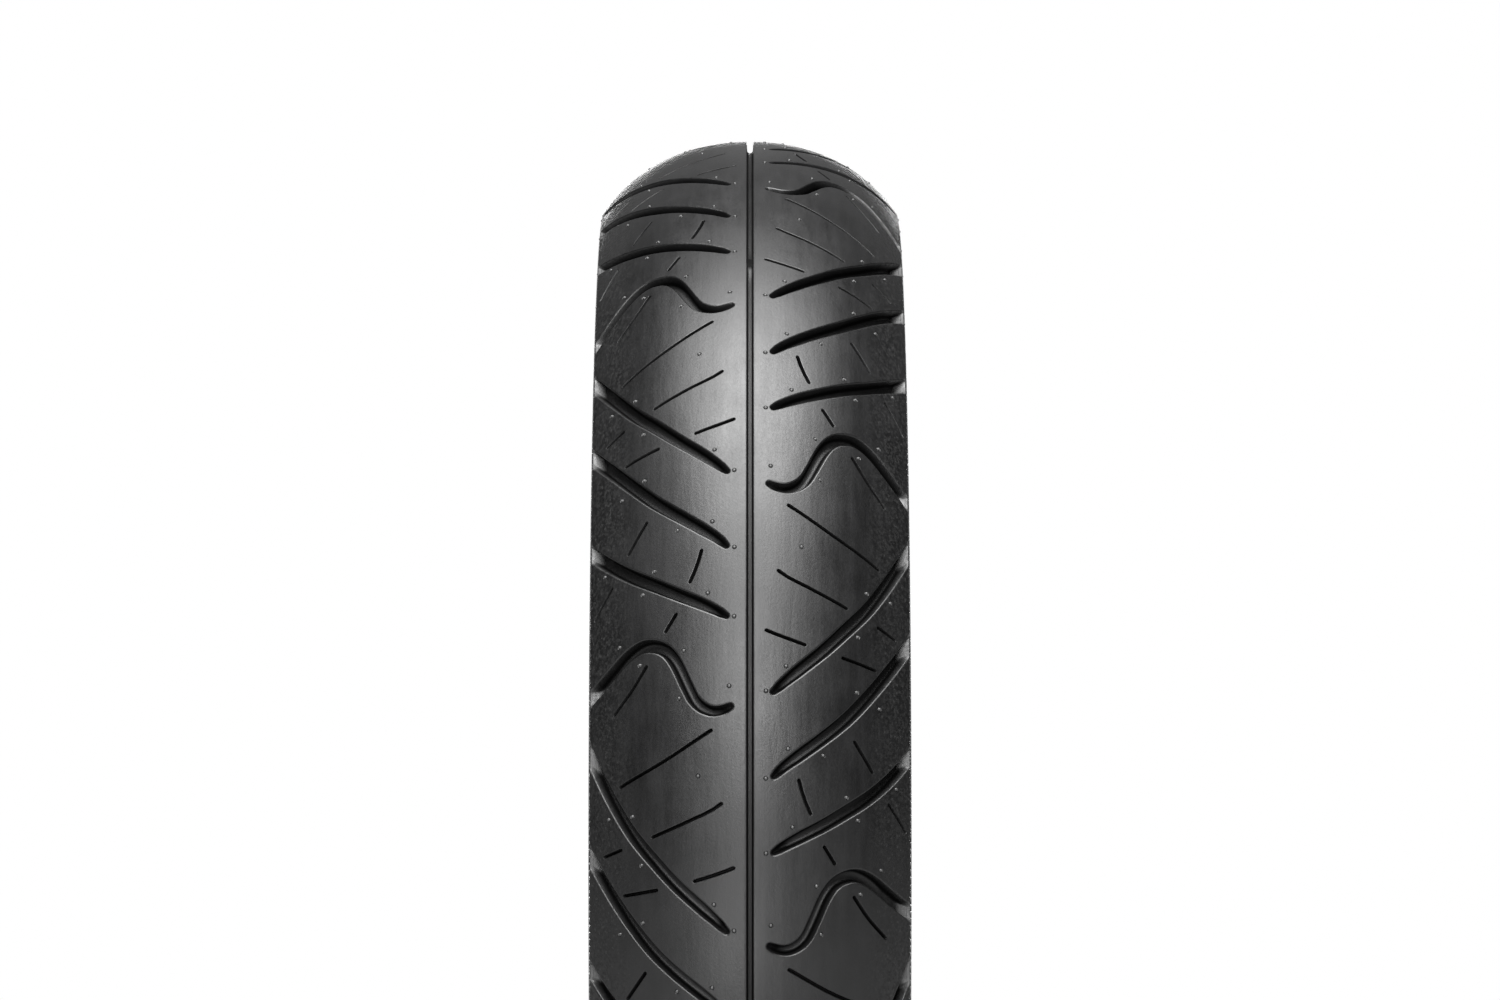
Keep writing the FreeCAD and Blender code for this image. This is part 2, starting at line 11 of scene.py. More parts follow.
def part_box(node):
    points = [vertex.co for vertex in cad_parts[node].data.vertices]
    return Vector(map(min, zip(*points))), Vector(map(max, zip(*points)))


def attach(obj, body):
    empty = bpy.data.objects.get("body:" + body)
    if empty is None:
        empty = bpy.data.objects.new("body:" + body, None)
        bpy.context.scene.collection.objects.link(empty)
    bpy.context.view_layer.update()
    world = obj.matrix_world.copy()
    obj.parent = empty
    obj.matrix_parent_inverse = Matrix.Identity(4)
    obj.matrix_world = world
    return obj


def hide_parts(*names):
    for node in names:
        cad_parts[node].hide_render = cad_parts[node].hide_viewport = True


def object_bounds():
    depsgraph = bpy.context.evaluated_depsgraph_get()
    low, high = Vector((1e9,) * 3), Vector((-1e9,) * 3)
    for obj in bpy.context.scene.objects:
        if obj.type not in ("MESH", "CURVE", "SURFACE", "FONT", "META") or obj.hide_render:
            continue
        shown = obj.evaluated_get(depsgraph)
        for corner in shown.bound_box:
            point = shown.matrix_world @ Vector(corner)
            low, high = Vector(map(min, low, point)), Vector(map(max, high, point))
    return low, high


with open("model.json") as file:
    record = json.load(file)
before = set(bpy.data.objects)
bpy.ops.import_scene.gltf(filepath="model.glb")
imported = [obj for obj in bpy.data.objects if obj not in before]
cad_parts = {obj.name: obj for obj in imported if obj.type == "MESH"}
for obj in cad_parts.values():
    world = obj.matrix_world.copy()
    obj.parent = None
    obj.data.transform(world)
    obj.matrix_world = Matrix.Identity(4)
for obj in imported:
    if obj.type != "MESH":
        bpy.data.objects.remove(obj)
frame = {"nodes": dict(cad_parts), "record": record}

# Lengths are millimetres until a mesh is made, and then metres. The axle is Y and the centre is the origin.
# A place on the tread is (u, t): u mm from the centre line along the surface, and t degrees round from the
# top towards +X. A relief's third coordinate is its depth under the surface, negative where it stands proud.

# ---- Sizes --------------------------------------------------------------------------------------
CAD_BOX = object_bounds()
MM = 0.001
OUTER_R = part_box("tread_cap")[1].z / MM
SIDE_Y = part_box("sidewall_right")[1].y / MM

# The crown: a flatter middle arc and a rounder arc on each side
CROWN_MID_R, CROWN_MID_HALF, CROWN_SIDE_R = 94.0, 24.0, 71.5
MID_ANGLE = math.asin(CROWN_MID_HALF / CROWN_MID_R)
MID_U = CROWN_MID_R * MID_ANGLE
SHOULDER_U = 75.0  # the tread's edge
CAP_T = 6.6
FLAT_R = 296.0  # mean radius of the tread, for laying its pattern out flat

PITCHES = 10
PITCH = 360.0 / PITCHES
RIGHT_PHASE = 7.3
LEFT_PHASE = RIGHT_PHASE + PITCH / 2
TILE_START = -15.8  # a pitch's first angle, between two grooves

GROOVE_DEPTH = 5.0
SIPE_DEPTH, SIPE_HALF = 3.2, 0.66
TAPER_LENGTH, TAPER_POWER, TAPER_SHARE = 14.0, 0.62, 0.86  # of a groove's inner end
TIP_RISE, TIP_DEPTH_SHARE = 7.0, 0.62  # the floor rises over this length at the tip
RAMP_START, RAMP_END = 72.4, 74.8  # the floor rises to the tread's edge between these
RAMP_LIP = 0.012  # share of the depth left where the floor meets the edge
OVERRUN = 9.0  # a groove's line is carried on past the tread's edge before it is cut there
STRIP_HALF = 2.6  # of the strip that holds the centre groove
WEAR_BARS, WEAR_BAR_AT, WEAR_BAR_HALF, WEAR_BAR_TOP = 5, 37.9, 0.75, 3.9  # number, degrees, degrees, depth
WEAR_BAR_END = 0.12  # degrees taken by each sloping end

# Each groove's centre line, then its half-width at the tip, along the middle and at the shoulder
GROOVES = {
    "sweep_1": (
        [(8.6, 0.1), (12, -0.5), (20, -1.8), (30, -3.4), (40, -5.25), (50, -7.2), (60, -9.65), (70, -12.4),
         (75, -13.85)],
        (1.2, 2.75, 3.1),
    ),
    "sweep_2": (
        [(8.8, 6.5), (12, 5.9), (20, 4.75), (30, 3.37), (40, 1.85), (50, -0.03), (60, -2.1), (70, -4.27),
         (75, -5.4)],
        (1.2, 2.75, 3.1),
    ),
    "sweep_3": (
        [(8.6, 12.15), (12, 11.75), (20, 10.95), (30, 10.03), (40, 9.0), (50, 7.93), (60, 6.63), (70, 5.07),
         (75, 4.2)],
        (1.2, 2.75, 3.0),
    ),
    "wave": (
        [(6.8, 18.95), (10, 19.25), (15, 19.4), (20, 19.0), (22.5, 18.55), (25, 17.7), (27.5, 16.7),
         (30, 15.7), (32.5, 14.95), (35, 14.45), (40, 14.0), (45, 13.9), (50, 14.2), (55, 14.75),
         (60, 15.45), (65, 16.1), (70, 16.7), (75, 17.25)],
        (1.35, 2.6, 3.2),
    ),
}
SIPES = [
    [(15.2, -15.2), (35, -12.95), (57, -11.0)],
    [(11, -9.68), (13, -9.4), (25, -8.3), (41, -7.05)],
    [(6, -4.85), (10, -4.55), (23, -3.75)],
    [(55.3, -6.1), (66, -5.4)],
    [(38, -3.05), (55, -2.4)],
    [(43.5, 3.4), (53, 5.9)],
    [(19.6, 6.5), (21.5, 7.8), (24.8, 9.25)],
    [(30, 11.55), (35.2, 13.05)],
    [(61, 8.2), (72.5, 10.6)],
    [(43.2, 15.45), (50, 17.2), (60.2, 19.15)],
]
PIPS = [
    (21, -11.7), (50, -8.7), (62.8, -8.5), (14.5, -2.05), (6.4, -0.1), (45.6, -4.9), (45.0, -0.42),
    (56.4, 0.65), (15.3, 4.26), (29.8, 4.7), (6.3, 6.5), (40, 7.85), (45.3, 9.6), (17.1, 10.15),
    (6.4, 12.1), (65.8, 7.0), (57, 13.55), (27, 14.6), (46.6, 15.35), (8.4, 17.5), (28.9, 18.3),
]


# ---- Surfaces -----------------------------------------------------------------------------------
def crown(u):
    """The crown's y, r and tilt at u, as arrays."""
    a = np.abs(u)
    mid = np.minimum(a, MID_U) / CROWN_MID_R
    tilt = mid + np.maximum(a - MID_U, 0.0) / CROWN_SIDE_R
    y = CROWN_MID_R * np.sin(mid) + CROWN_SIDE_R * (np.sin(tilt) - np.sin(mid))
    r = OUTER_R - CROWN_MID_R * (1 - np.cos(mid)) - CROWN_SIDE_R * (np.cos(mid) - np.cos(tilt))
    return np.sign(u) * y, r, np.sign(u) * tilt


def tread_point(u, t, depth):
    """Points at a depth under the tread surface, in mm."""
    y, r, tilt = crown(u)
    y = y - depth * np.sin(tilt)
    r = r - depth * np.cos(tilt)
    a = np.radians(t)
    return np.stack([r * np.sin(a), y, r * np.cos(a)], axis=-1)


# ---- Relief on a surface ------------------------------------------------------------------------
class Relief:
    """A rectangle of surface in (u, t) with features let into it, as vertices (u, t, depth) and faces.

    Flat coordinates (u, w) measure t in mm at the rectangle's mean radius, so that shapes keep proportions.
    """

    def __init__(self):
        self.points = []
        self.faces = []
        self.rings = []

    def add(self, ring):
        """Adds a ring of (u, t, depth) rows and returns its vertex numbers."""
        first = len(self.points)
        self.points.extend(tuple(row) for row in ring)
        return list(range(first, len(self.points)))

    def bridge(self, a, b, closed=True):
        """Quads between two rings with the same number of vertices, b inside a."""
        n = len(a)
        for i in range(n if closed else n - 1):
            j = (i + 1) % n
            self.faces.append((a[i], a[j], b[j], b[i]))

    def fan(self, ring, centre):
        """Triangles from a ring to the vertex at its centre."""
        n = len(ring)
        for i in range(n):
            self.faces.append((ring[i], ring[(i + 1) % n], centre))

    def hole(self, ring):
        """The land stops at this ring."""
        self.rings.append(ring)


def resample(points, count):
    """Points spread along a smooth curve through the given (u, t) points, with their lengths along it."""
    p = np.array(points, float)
    seg = np.hypot(np.diff(p[:, 0]), np.diff(p[:, 1]))
    s = np.concatenate([[0], np.cumsum(seg)])
    wanted = np.linspace(0, s[-1], count)
    m = np.gradient(p, s, axis=0) if len(p) > 2 else np.tile((p[1] - p[0]) / s[-1], (2, 1))
    k = np.clip(np.searchsorted(s, wanted, side="right") - 1, 0, len(s) - 2)
    h = (s[k + 1] - s[k])[:, None]
    x = ((wanted - s[k]) / h[:, 0])[:, None]
    out = (
        (2 * x**3 - 3 * x**2 + 1) * p[k]
        + (x**3 - 2 * x**2 + x) * h * m[k]
        + (-2 * x**3 + 3 * x**2) * p[k + 1]
        + (x**3 - x**2) * h * m[k + 1]
    )
    return out, wanted


def flat(points, radius):
    """(u, t) rows as (u, w) in mm."""
    p = np.array(points, float)
    return np.column_stack([p[:, 0], np.radians(p[:, 1]) * radius])


def unflat(points, radius):
    """(u, w) rows in mm as (u, t)."""
    return np.column_stack([points[:, 0], np.degrees(points[:, 1] / radius)])


def tangents(p):
    """Unit directions along a line of points."""
    d = np.gradient(p, axis=0)
    return d / np.linalg.norm(d, axis=1)[:, None]


NARROWEST = 0.14  # half-width that a ring keeps where its wall would close up


def along_offset(centre, half, extra, side, end_u, shares):
    """The line beside a groove's centre line, cut at end_u, at even shares of its length."""
    d = tangents(centre)
    normal = np.column_stack([-d[:, 1], d[:, 0]]) * side
    width = np.maximum(half + extra, NARROWEST)
    line = centre + normal * width[:, None]
    over = int(np.argmax(line[:, 0] > end_u))
    a, b = line[over - 1], line[over]
    cut = a + (b - a) * (end_u - a[0]) / (b[0] - a[0])
    line = np.vstack([line[:over], cut])
    s = np.concatenate([[0], np.cumsum(np.linalg.norm(np.diff(line, axis=0), axis=1))])
    wanted = shares * s[-1]
    return np.column_stack([np.interp(wanted, s, line[:, 0]), np.interp(wanted, s, line[:, 1])])


def groove_half_width(s, total, widths):
    """A groove's half-width at s mm along it: tip, then taper, then middle, then end."""
    tip, middle, end = widths
    taper = np.clip(s / TAPER_LENGTH, 0, 1) ** TAPER_POWER
    later = np.clip((s - TAPER_LENGTH) / (total - TAPER_LENGTH), 0, 1)
    half = tip + (TAPER_SHARE * middle - tip) * taper
    half = half + (1 - TAPER_SHARE) * middle * np.clip(later / 0.4, 0, 1)
    return half + (end - middle) * np.clip((later - 0.5) / 0.5, 0, 1)


# How each level of a wall lies: distance outwards from the wall line, and depth (from the floor if negative)
GROOVE_LEVELS = [
    (0.75, 0.0), (0.42, 0.06), (0.12, 0.28), (0.0, 0.7), (-0.38, -1.5), (-0.62, -0.6), (-1.25, -0.08),
]
SIPE_LEVELS = [(0.3, 0.0), (0.12, 0.07), (0.0, 0.35), (-0.04, -0.3), (-0.3, -0.02)]


def level_depth(level, full):
    """A level's depth: from the surface where it is positive, and from the floor where negative."""
    return np.where(level >= 0, np.minimum(level, full), np.maximum(full + level, 0.45 * full))


FINE_STATIONS = 160  # points along a groove's line before its stations are chosen


def add_groove(relief, points, widths, stations, cap=5):
    """A groove with a rounded tip at its first point and a floor that rises to the tread's edge."""
    line = flat(points, FLAT_R)
    last = line[-1] + (line[-1] - line[-2]) / np.linalg.norm(line[-1] - line[-2]) * OVERRUN
    dense, s = resample(np.vstack([line, last]), FINE_STATIONS)
    total = s[-1]
    half = groove_half_width(s, total, widths)
    shares = np.append(np.linspace(0, 0.955, stations - 2) ** 1.08, [0.975, 1.0])
    start = dense[0] + tangents(dense)[0] * widths[0]
    past_tip = s > widths[0] + 0.8
    dense = np.vstack([start, dense[past_tip]])
    half = np.concatenate([[widths[0]], half[past_tip]])
    direction = tangents(dense)[0]
    across = np.array([-direction[1], direction[0]])

    def full_depth(p, share):
        ramp = np.clip((RAMP_END - p[:, 0]) / (RAMP_END - RAMP_START), RAMP_LIP, 1)
        tip = TIP_DEPTH_SHARE + (1 - TIP_DEPTH_SHARE) * np.clip(share * total / TIP_RISE, 0, 1)
        return GROOVE_DEPTH * ramp * tip

    rings = []
    for extra, level in GROOVE_LEVELS:
        left = along_offset(dense, half, extra, 1, RAMP_END, shares)
        right = along_offset(dense, half, extra, -1, RAMP_END, shares)
        radius = max(widths[0] + extra, NARROWEST)
        angles = np.linspace(math.pi / 2, 3 * math.pi / 2, cap + 2)[1:-1]
        tip = dense[0] + radius * (np.cos(angles)[:, None] * direction + np.sin(angles)[:, None] * across)
        outline = np.vstack([left[::-1], tip, right])
        share = np.concatenate([shares[::-1], np.zeros(cap), shares])
        deep = full_depth(outline, share)
        d = np.full(len(outline), 0.0) if level == 0 else level_depth(level, deep)
        back = unflat(outline, FLAT_R)
        rings.append(relief.add(np.column_stack([back, d])))
    for a, b in zip(rings, rings[1:]):
        relief.bridge(a, b, closed=False)
    middle = along_offset(dense, np.zeros(len(dense)), -1, 1, RAMP_END, shares)
    deep = full_depth(middle, shares)
    spine = relief.add(np.column_stack([unflat(middle, FLAT_R), deep]))
    floor = rings[-1]
    n = stations
    left, tip, right = floor[:n][::-1], floor[n : n + cap], floor[n + cap :]
    for i in range(n - 1):
        relief.faces.append((left[i + 1], left[i], spine[i], spine[i + 1]))
        relief.faces.append((right[i], right[i + 1], spine[i + 1], spine[i]))
    chain = [left[0]] + tip + [right[0]]
    for a, b in zip(chain, chain[1:]):
        relief.faces.append((a, b, spine[0]))
    end_line = [r[-1] for r in rings[1:]] + [spine[-1]] + [r[0] for r in reversed(rings[1:])]
    relief.hole(rings[0] + end_line)


def add_slot(relief, points, half, levels, depth, spacing, cap=3, flat_r=FLAT_R):
    """A closed slot of even width round a line, cut down by depth, or raised where depth is negative."""
    line = flat(points, flat_r)
    length = np.linalg.norm(np.diff(line, axis=0), axis=1).sum()
    count = max(3, int(round(length / spacing)) + 1)
    centre, _ = resample(line, count)
    d = tangents(centre)
    centre[0] += d[0] * half
    centre[-1] -= d[-1] * half
    normal = np.column_stack([-d[:, 1], d[:, 0]])
    rings = []
    for extra, level in levels:
        radius = max(half + extra, 0.1)
        left, right = centre + normal * radius, centre - normal * radius
        turn = np.linspace(math.pi / 2, 3 * math.pi / 2, cap + 2)[1:-1]
        start = centre[0] + radius * (np.cos(turn)[:, None] * d[0] + np.sin(turn)[:, None] * normal[0])
        end = centre[-1] - radius * (np.cos(turn)[:, None] * d[-1] + np.sin(turn)[:, None] * normal[-1])
        outline = np.vstack([left[::-1], start, right, end])
        sign = 1 if depth >= 0 else -1
        deep = sign * float(level_depth(np.array(level), abs(depth))) if level != 0 or extra < 0 else 0.0
        rings.append(relief.add(np.column_stack([unflat(outline, flat_r), np.full(len(outline), deep)])))
    for a, b in zip(rings, rings[1:]):
        relief.bridge(a, b)
    floor = rings[-1]
    n = count
    left, start = floor[:n][::-1], floor[n : n + cap]
    right, end = floor[n + cap : 2 * n + cap], floor[2 * n + cap :]
    for i in range(n - 1):
        relief.faces.append((left[i + 1], left[i], right[i], right[i + 1]))
    relief.faces.append(tuple([left[0]] + start + [right[0]]))
    relief.faces.append(tuple([right[-1]] + end + [left[-1]]))
    relief.hole(rings[0])


PIP_LEVELS = [(1.05, 0.0), (0.84, 0.16), (0.66, 0.04), (0.58, -0.2), (0.36, -0.4)]


def add_pip(relief, place, sides=8, flat_r=FLAT_R, levels=PIP_LEVELS):
    """A trimmed moulding vent: a low nub standing in a shallow ring."""
    turn = np.linspace(0, 2 * math.pi, sides, endpoint=False)
    centre = flat([place], flat_r)[0]
    rings = []
    for radius, depth in levels:
        outline = centre + radius * np.column_stack([np.cos(turn), np.sin(turn)])
        rings.append(relief.add(np.column_stack([unflat(outline, flat_r), np.full(sides, depth)])))
    for a, b in zip(rings, rings[1:]):
        relief.bridge(a, b)
    top = relief.add([(place[0], place[1], levels[-1][1] - 0.06)])
    relief.fan(rings[-1], top[0])
    relief.hole(rings[0])


def inside(polygon, p):
    """Which of the points p are inside a polygon."""
    x, y = p[:, 0], p[:, 1]
    found = np.zeros(len(p), bool)
    q = np.roll(polygon, -1, axis=0)
    for (x0, y0), (x1, y1) in zip(polygon, q):
        crosses = (y0 > y) != (y1 > y)
        if y0 != y1:
            found ^= crosses & (x < (x1 - x0) * (y - y0) / (y1 - y0) + x0)
    return found


def near_outline(polygon, p, distance):
    """Which of the points p are nearer than distance to a polygon's outline."""
    found = np.zeros(len(p), bool)
    q = np.roll(polygon, -1, axis=0)
    for a, b in zip(polygon, q):
        ab = b - a
        share = np.clip(((p - a) @ ab) / max(ab @ ab, 1e-12), 0, 1)
        found |= np.linalg.norm(p - (a + share[:, None] * ab), axis=1) < distance
    return found


def add_land(relief, u_rows, t_start, t_end, low_count, high_count, spacing, flat_r=FLAT_R):
    """Fills the rectangle round the holes. Its u = low and u = high edges have their own numbers of steps."""
    low = np.linspace(t_start, t_end, low_count + 1)
    high = np.linspace(t_start, t_end, high_count + 1)
    edge = [(u_rows[0], t) for t in low] + [(u, t_end) for u in u_rows[1:-1]]
    edge += [(u_rows[-1], t) for t in high[::-1]] + [(u, t_start) for u in u_rows[-2:0:-1]]
    frame_ring = relief.add([(u, t, 0.0) for u, t in edge])
    rings = [frame_ring] + relief.rings
    everything = np.array(relief.points)
    coords, owners, constraints = [], [], []
    for ring in rings:
        first = len(coords)
        coords.extend(flat(everything[ring][:, :2], flat_r))
        owners.extend(ring)
        constraints.extend((first + i, first + (i + 1) % len(ring)) for i in range(len(ring)))
    holes = [flat(everything[r][:, :2], flat_r) for r in relief.rings]
    span = math.radians(t_end - t_start) * flat_r
    w0 = math.radians(t_start) * flat_r
    rows = int((u_rows[-1] - u_rows[0]) / (spacing * 0.87))
    grid = []
    for i in range(1, rows):
        u = u_rows[0] + (u_rows[-1] - u_rows[0]) * i / rows
        columns = int(span / spacing)
        shift = 0.5 if i % 2 else 0.0
        grid.extend((u, w0 + span * (j + shift) / columns) for j in range(columns + 1))
    grid = np.array(grid)
    border = np.array(coords[: len(frame_ring)])
    keep = ~near_outline(border, grid, 0.55 * spacing)
    keep &= inside(border, grid)
    for hole in holes:
        box = (grid[:, 0] > hole[:, 0].min() - spacing) & (grid[:, 0] < hole[:, 0].max() + spacing)
        box &= (grid[:, 1] > hole[:, 1].min() - spacing) & (grid[:, 1] < hole[:, 1].max() + spacing)
        chosen = np.where(box & keep)[0]
        if len(chosen):
            bad = inside(hole, grid[chosen]) | near_outline(hole, grid[chosen], 0.42 * spacing)
            keep[chosen[bad]] = False
    grid = grid[keep]
    back = unflat(grid, flat_r)
    owners.extend(relief.add(np.column_stack([back, np.zeros(len(back))])))
    coords.extend(grid)
    flat_points = [Vector((float(c[0]), float(c[1]))) for c in coords]
    verts, _, faces, origins, _, _ = delaunay_2d_cdt(flat_points, constraints, [], 0, 1e-6)
    where = np.array([[v.x, v.y] for v in verts])
    names = []
    for place, origin in zip(where, origins):
        if origin:
            names.append(owners[origin[0]])
        else:
            extra = unflat(place[None, :], flat_r)[0]
            names.extend(relief.add([(extra[0], extra[1], 0.0)]))
    tris = np.array([tuple(f) for f in faces])
    centres = where[tris].mean(axis=1)
    drop = np.zeros(len(tris), bool)
    for hole in holes:
        drop |= inside(hole, centres)
    a, b, c = where[tris[:, 0]], where[tris[:, 1]], where[tris[:, 2]]
    area = (b[:, 0] - a[:, 0]) * (c[:, 1] - a[:, 1]) - (b[:, 1] - a[:, 1]) * (c[:, 0] - a[:, 0])
    drop |= np.abs(area) < 1e-7
    for (i, j, k), gone, size in zip(tris, drop, area):
        if gone:
            continue
        j, k = (j, k) if size > 0 else (k, j)
        relief.faces.append((names[i], names[j], names[k]))


# ---- Meshes -------------------------------------------------------------------------------------
def new_piece(name, points_mm, faces, replaced=()):
    """A smooth piece of the tyre from points in mm, with doubled points joined and normals outwards."""
    mesh = bpy.data.meshes.new(name)
    mesh.from_pydata((np.asarray(points_mm) * MM).tolist(), [], [tuple(int(i) for i in f) for f in faces])
    bm = bmesh.new()
    bm.from_mesh(mesh)
    bmesh.ops.remove_doubles(bm, verts=bm.verts, dist=2e-6)
    bmesh.ops.dissolve_degenerate(bm, dist=1e-7, edges=bm.edges)
    loose = [v for v in bm.verts if not v.link_faces]
    bmesh.ops.delete(bm, geom=loose, context="VERTS")
    bmesh.ops.triangulate(bm, faces=[f for f in bm.faces if len(f.verts) > 4])
    bmesh.ops.recalc_face_normals(bm, faces=bm.faces)
    bm.to_mesh(mesh)
    bm.free()
    mesh.shade_smooth()
    piece = bpy.data.objects.new(name, mesh)
    bpy.context.scene.collection.objects.link(piece)
    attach(piece, "root")
    if replaced:
        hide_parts(*replaced)
    return piece


def tread_tile():
    """One pitch of the right-hand side, as (u, t, depth) rows and faces."""
    relief = Relief()
    for points, widths in GROOVES.values():
        add_groove(relief, points, widths, 40 if len(points) > 12 else 27)
    for points in SIPES:
        add_slot(relief, points, SIPE_HALF, SIPE_LEVELS, SIPE_DEPTH, 4.5)
    for place in PIPS:
        add_pip(relief, place)
    u_rows = np.linspace(STRIP_HALF, SHOULDER_U, 19)
    low_count, high_count = STRIP_STEPS // PITCHES, EDGE_STEPS // PITCHES
    add_land(relief, u_rows, TILE_START, TILE_START + PITCH, low_count, high_count, 4.6)
    return np.array(relief.points), relief.faces


STRIP_STEPS, EDGE_STEPS = 360, 480  # round the wheel, beside the centre strip and at the tread's edge
CENTRE_PROFILE = [
    (STRIP_HALF, 0.0), (1.75, 0.02), (1.52, 0.1), (1.4, 0.4), (1.25, 4.3), (0.6, 5.0), (0.12, 5.0),
    (0.0, 4.95),
]


def carried_round(rows_at, t_of):
    """A profile carried right round: rows_at(t) gives its (u, t, depth) rows. Returns rows and faces."""
    rows = [rows_at(t) for t in t_of]
    n, m = len(rows), len(rows[0])
    faces = []
    for i in range(n):
        j = (i + 1) % n
        faces.extend((i * m + k, i * m + k + 1, j * m + k + 1, j * m + k) for k in range(m - 1))
    return np.array([row for ring in rows for row in ring]), faces


def centre_strip(t_of):
    """The middle of the tread with its groove, its wear bars rising from the floor."""
    across = [(-u, d) for u, d in CENTRE_PROFILE] + [(u, d) for u, d in reversed(CENTRE_PROFILE[:-1])]
    apart = 360 / WEAR_BARS

    def rows_at(t):
        away = (t - WEAR_BAR_AT + apart / 2) % apart - apart / 2
        on_bar = abs(away) <= WEAR_BAR_HALF
        beside = WEAR_BAR_HALF < abs(away) < WEAR_BAR_HALF + 1.0
        # The floor's points next to a bar move up to it, so that its ends are steep
        low_t = t - away + math.copysign(WEAR_BAR_HALF + WEAR_BAR_END, away) if beside else t
        return [(u, low_t if d > 1 else t, min(d, WEAR_BAR_TOP) if on_bar else d) for u, d in across]

    return carried_round(rows_at, t_of)


# The tread's rounded edge
EDGE_ROUND = [(SHOULDER_U, 0.0), (75.28, 0.1), (75.42, 0.35), (75.44, 3.0), (75.44, CAP_T)]


def tread_underside(t_of):
    """The cap's two rounded edges and its hidden underside, which close the mesh."""
    across = EDGE_ROUND + [(u, CAP_T) for u in (60.0, 45.0, 30.0, 15.0)]
    across = across + [(0.0, CAP_T)] + [(-u, d) for u, d in reversed(across)]
    return carried_round(lambda t: [(u, t, d) for u, d in across], t_of)


def crown_depth(points):
    """Depth under the tread surface and outward normal of points in mm."""
    y, r = points[:, 1], np.hypot(points[:, 0], points[:, 2])
    mid_c = OUTER_R - CROWN_MID_R
    angle = np.arctan2(np.abs(y), r - mid_c)
    gap = CROWN_MID_R - CROWN_SIDE_R
    side_y, side_r = gap * math.sin(MID_ANGLE), mid_c + gap * math.cos(MID_ANGLE)
    side = angle > MID_ANGLE
    tilt = np.where(side, np.arctan2(np.abs(y) - side_y, r - side_r), angle)
    dist = np.where(side, np.hypot(np.abs(y) - side_y, r - side_r), np.hypot(y, r - mid_c))
    depth = np.where(side, CROWN_SIDE_R, CROWN_MID_R) - dist
    radial = np.column_stack([points[:, 0] / r, np.zeros(len(r)), points[:, 2] / r])
    normal = radial * np.cos(tilt)[:, None]
    normal[:, 1] = np.sign(y) * np.sin(tilt)
    return depth, normal


CREASE = math.radians(38)
LIES_ALONG = math.cos(math.radians(12))
ON_SURFACE = 2e-3  # a vertex no deeper than this is on the untouched surface


def vertices_mm(mesh):
    """A mesh's vertices in mm."""
    co = np.zeros(len(mesh.vertices) * 3)
    mesh.vertices.foreach_get("co", co)
    return co.reshape(-1, 3) / MM


def set_normals(mesh, chosen, wanted):
    """Creased normals, but the wanted ones where the chosen vertices meet faces that lie along them."""
    mesh.set_sharp_from_angle(angle=CREASE)
    loops = len(mesh.loops)
    normals = np.zeros(loops * 3)
    mesh.corner_normals.foreach_get("vector", normals)
    normals = normals.reshape(-1, 3)
    vertex = np.zeros(loops, int)
    mesh.loops.foreach_get("vertex_index", vertex)
    count = np.zeros(len(mesh.polygons), int)
    mesh.polygons.foreach_get("loop_total", count)
    face = np.zeros(len(mesh.polygons) * 3)
    mesh.polygons.foreach_get("normal", face)
    face = np.repeat(face.reshape(-1, 3), count, axis=0)
    along = (face * wanted[vertex]).sum(axis=1) > LIES_ALONG
    use = chosen[vertex] & along
    normals[use] = wanted[vertex][use]
    mesh.normals_split_custom_set([tuple(n) for n in normals])


def add_mask(mesh, name, values):
    """A value from 0 to 1 at each vertex, for a material to read."""
    mesh.attributes.new(name, "FLOAT", "POINT").data.foreach_set("value", np.asarray(values, np.float32))


def tread_masks(depth, normal):
    """How pale each vertex is painted (nubs and exit facets), a painted highlight, and how dark (the walls of
    grooves), a painted shade.
    """
    tilt = np.arcsin(np.clip(np.abs(normal[:, 1]), 0, 1))
    u = MID_U + (tilt - MID_ANGLE) * CROWN_SIDE_R  # on the side arcs, where the facets are
    ramp_depth = GROOVE_DEPTH * (RAMP_END - u) / (RAMP_END - RAMP_START)
    facet = (u > RAMP_START + 0.2) & (u < RAMP_END + 0.02) & (depth > ramp_depth - 0.3)
    facet &= (depth > 0.02) & (depth < GROOVE_DEPTH)
    # painted highlight: the nubs and the groove exit facets are painted paler
    pale = np.where(facet, 1.0, np.clip(-depth / 0.3, 0, 1))
    # painted shade: groove walls painted darker the deeper they lie
    dark = np.where(facet, 0.0, np.clip((depth - 1.5) / 2.0, 0, 1))
    # painted shade kept weaker on the groove floors
    dark = np.where(depth > 4.6, np.minimum(dark, 0.3), dark)
    return pale, dark


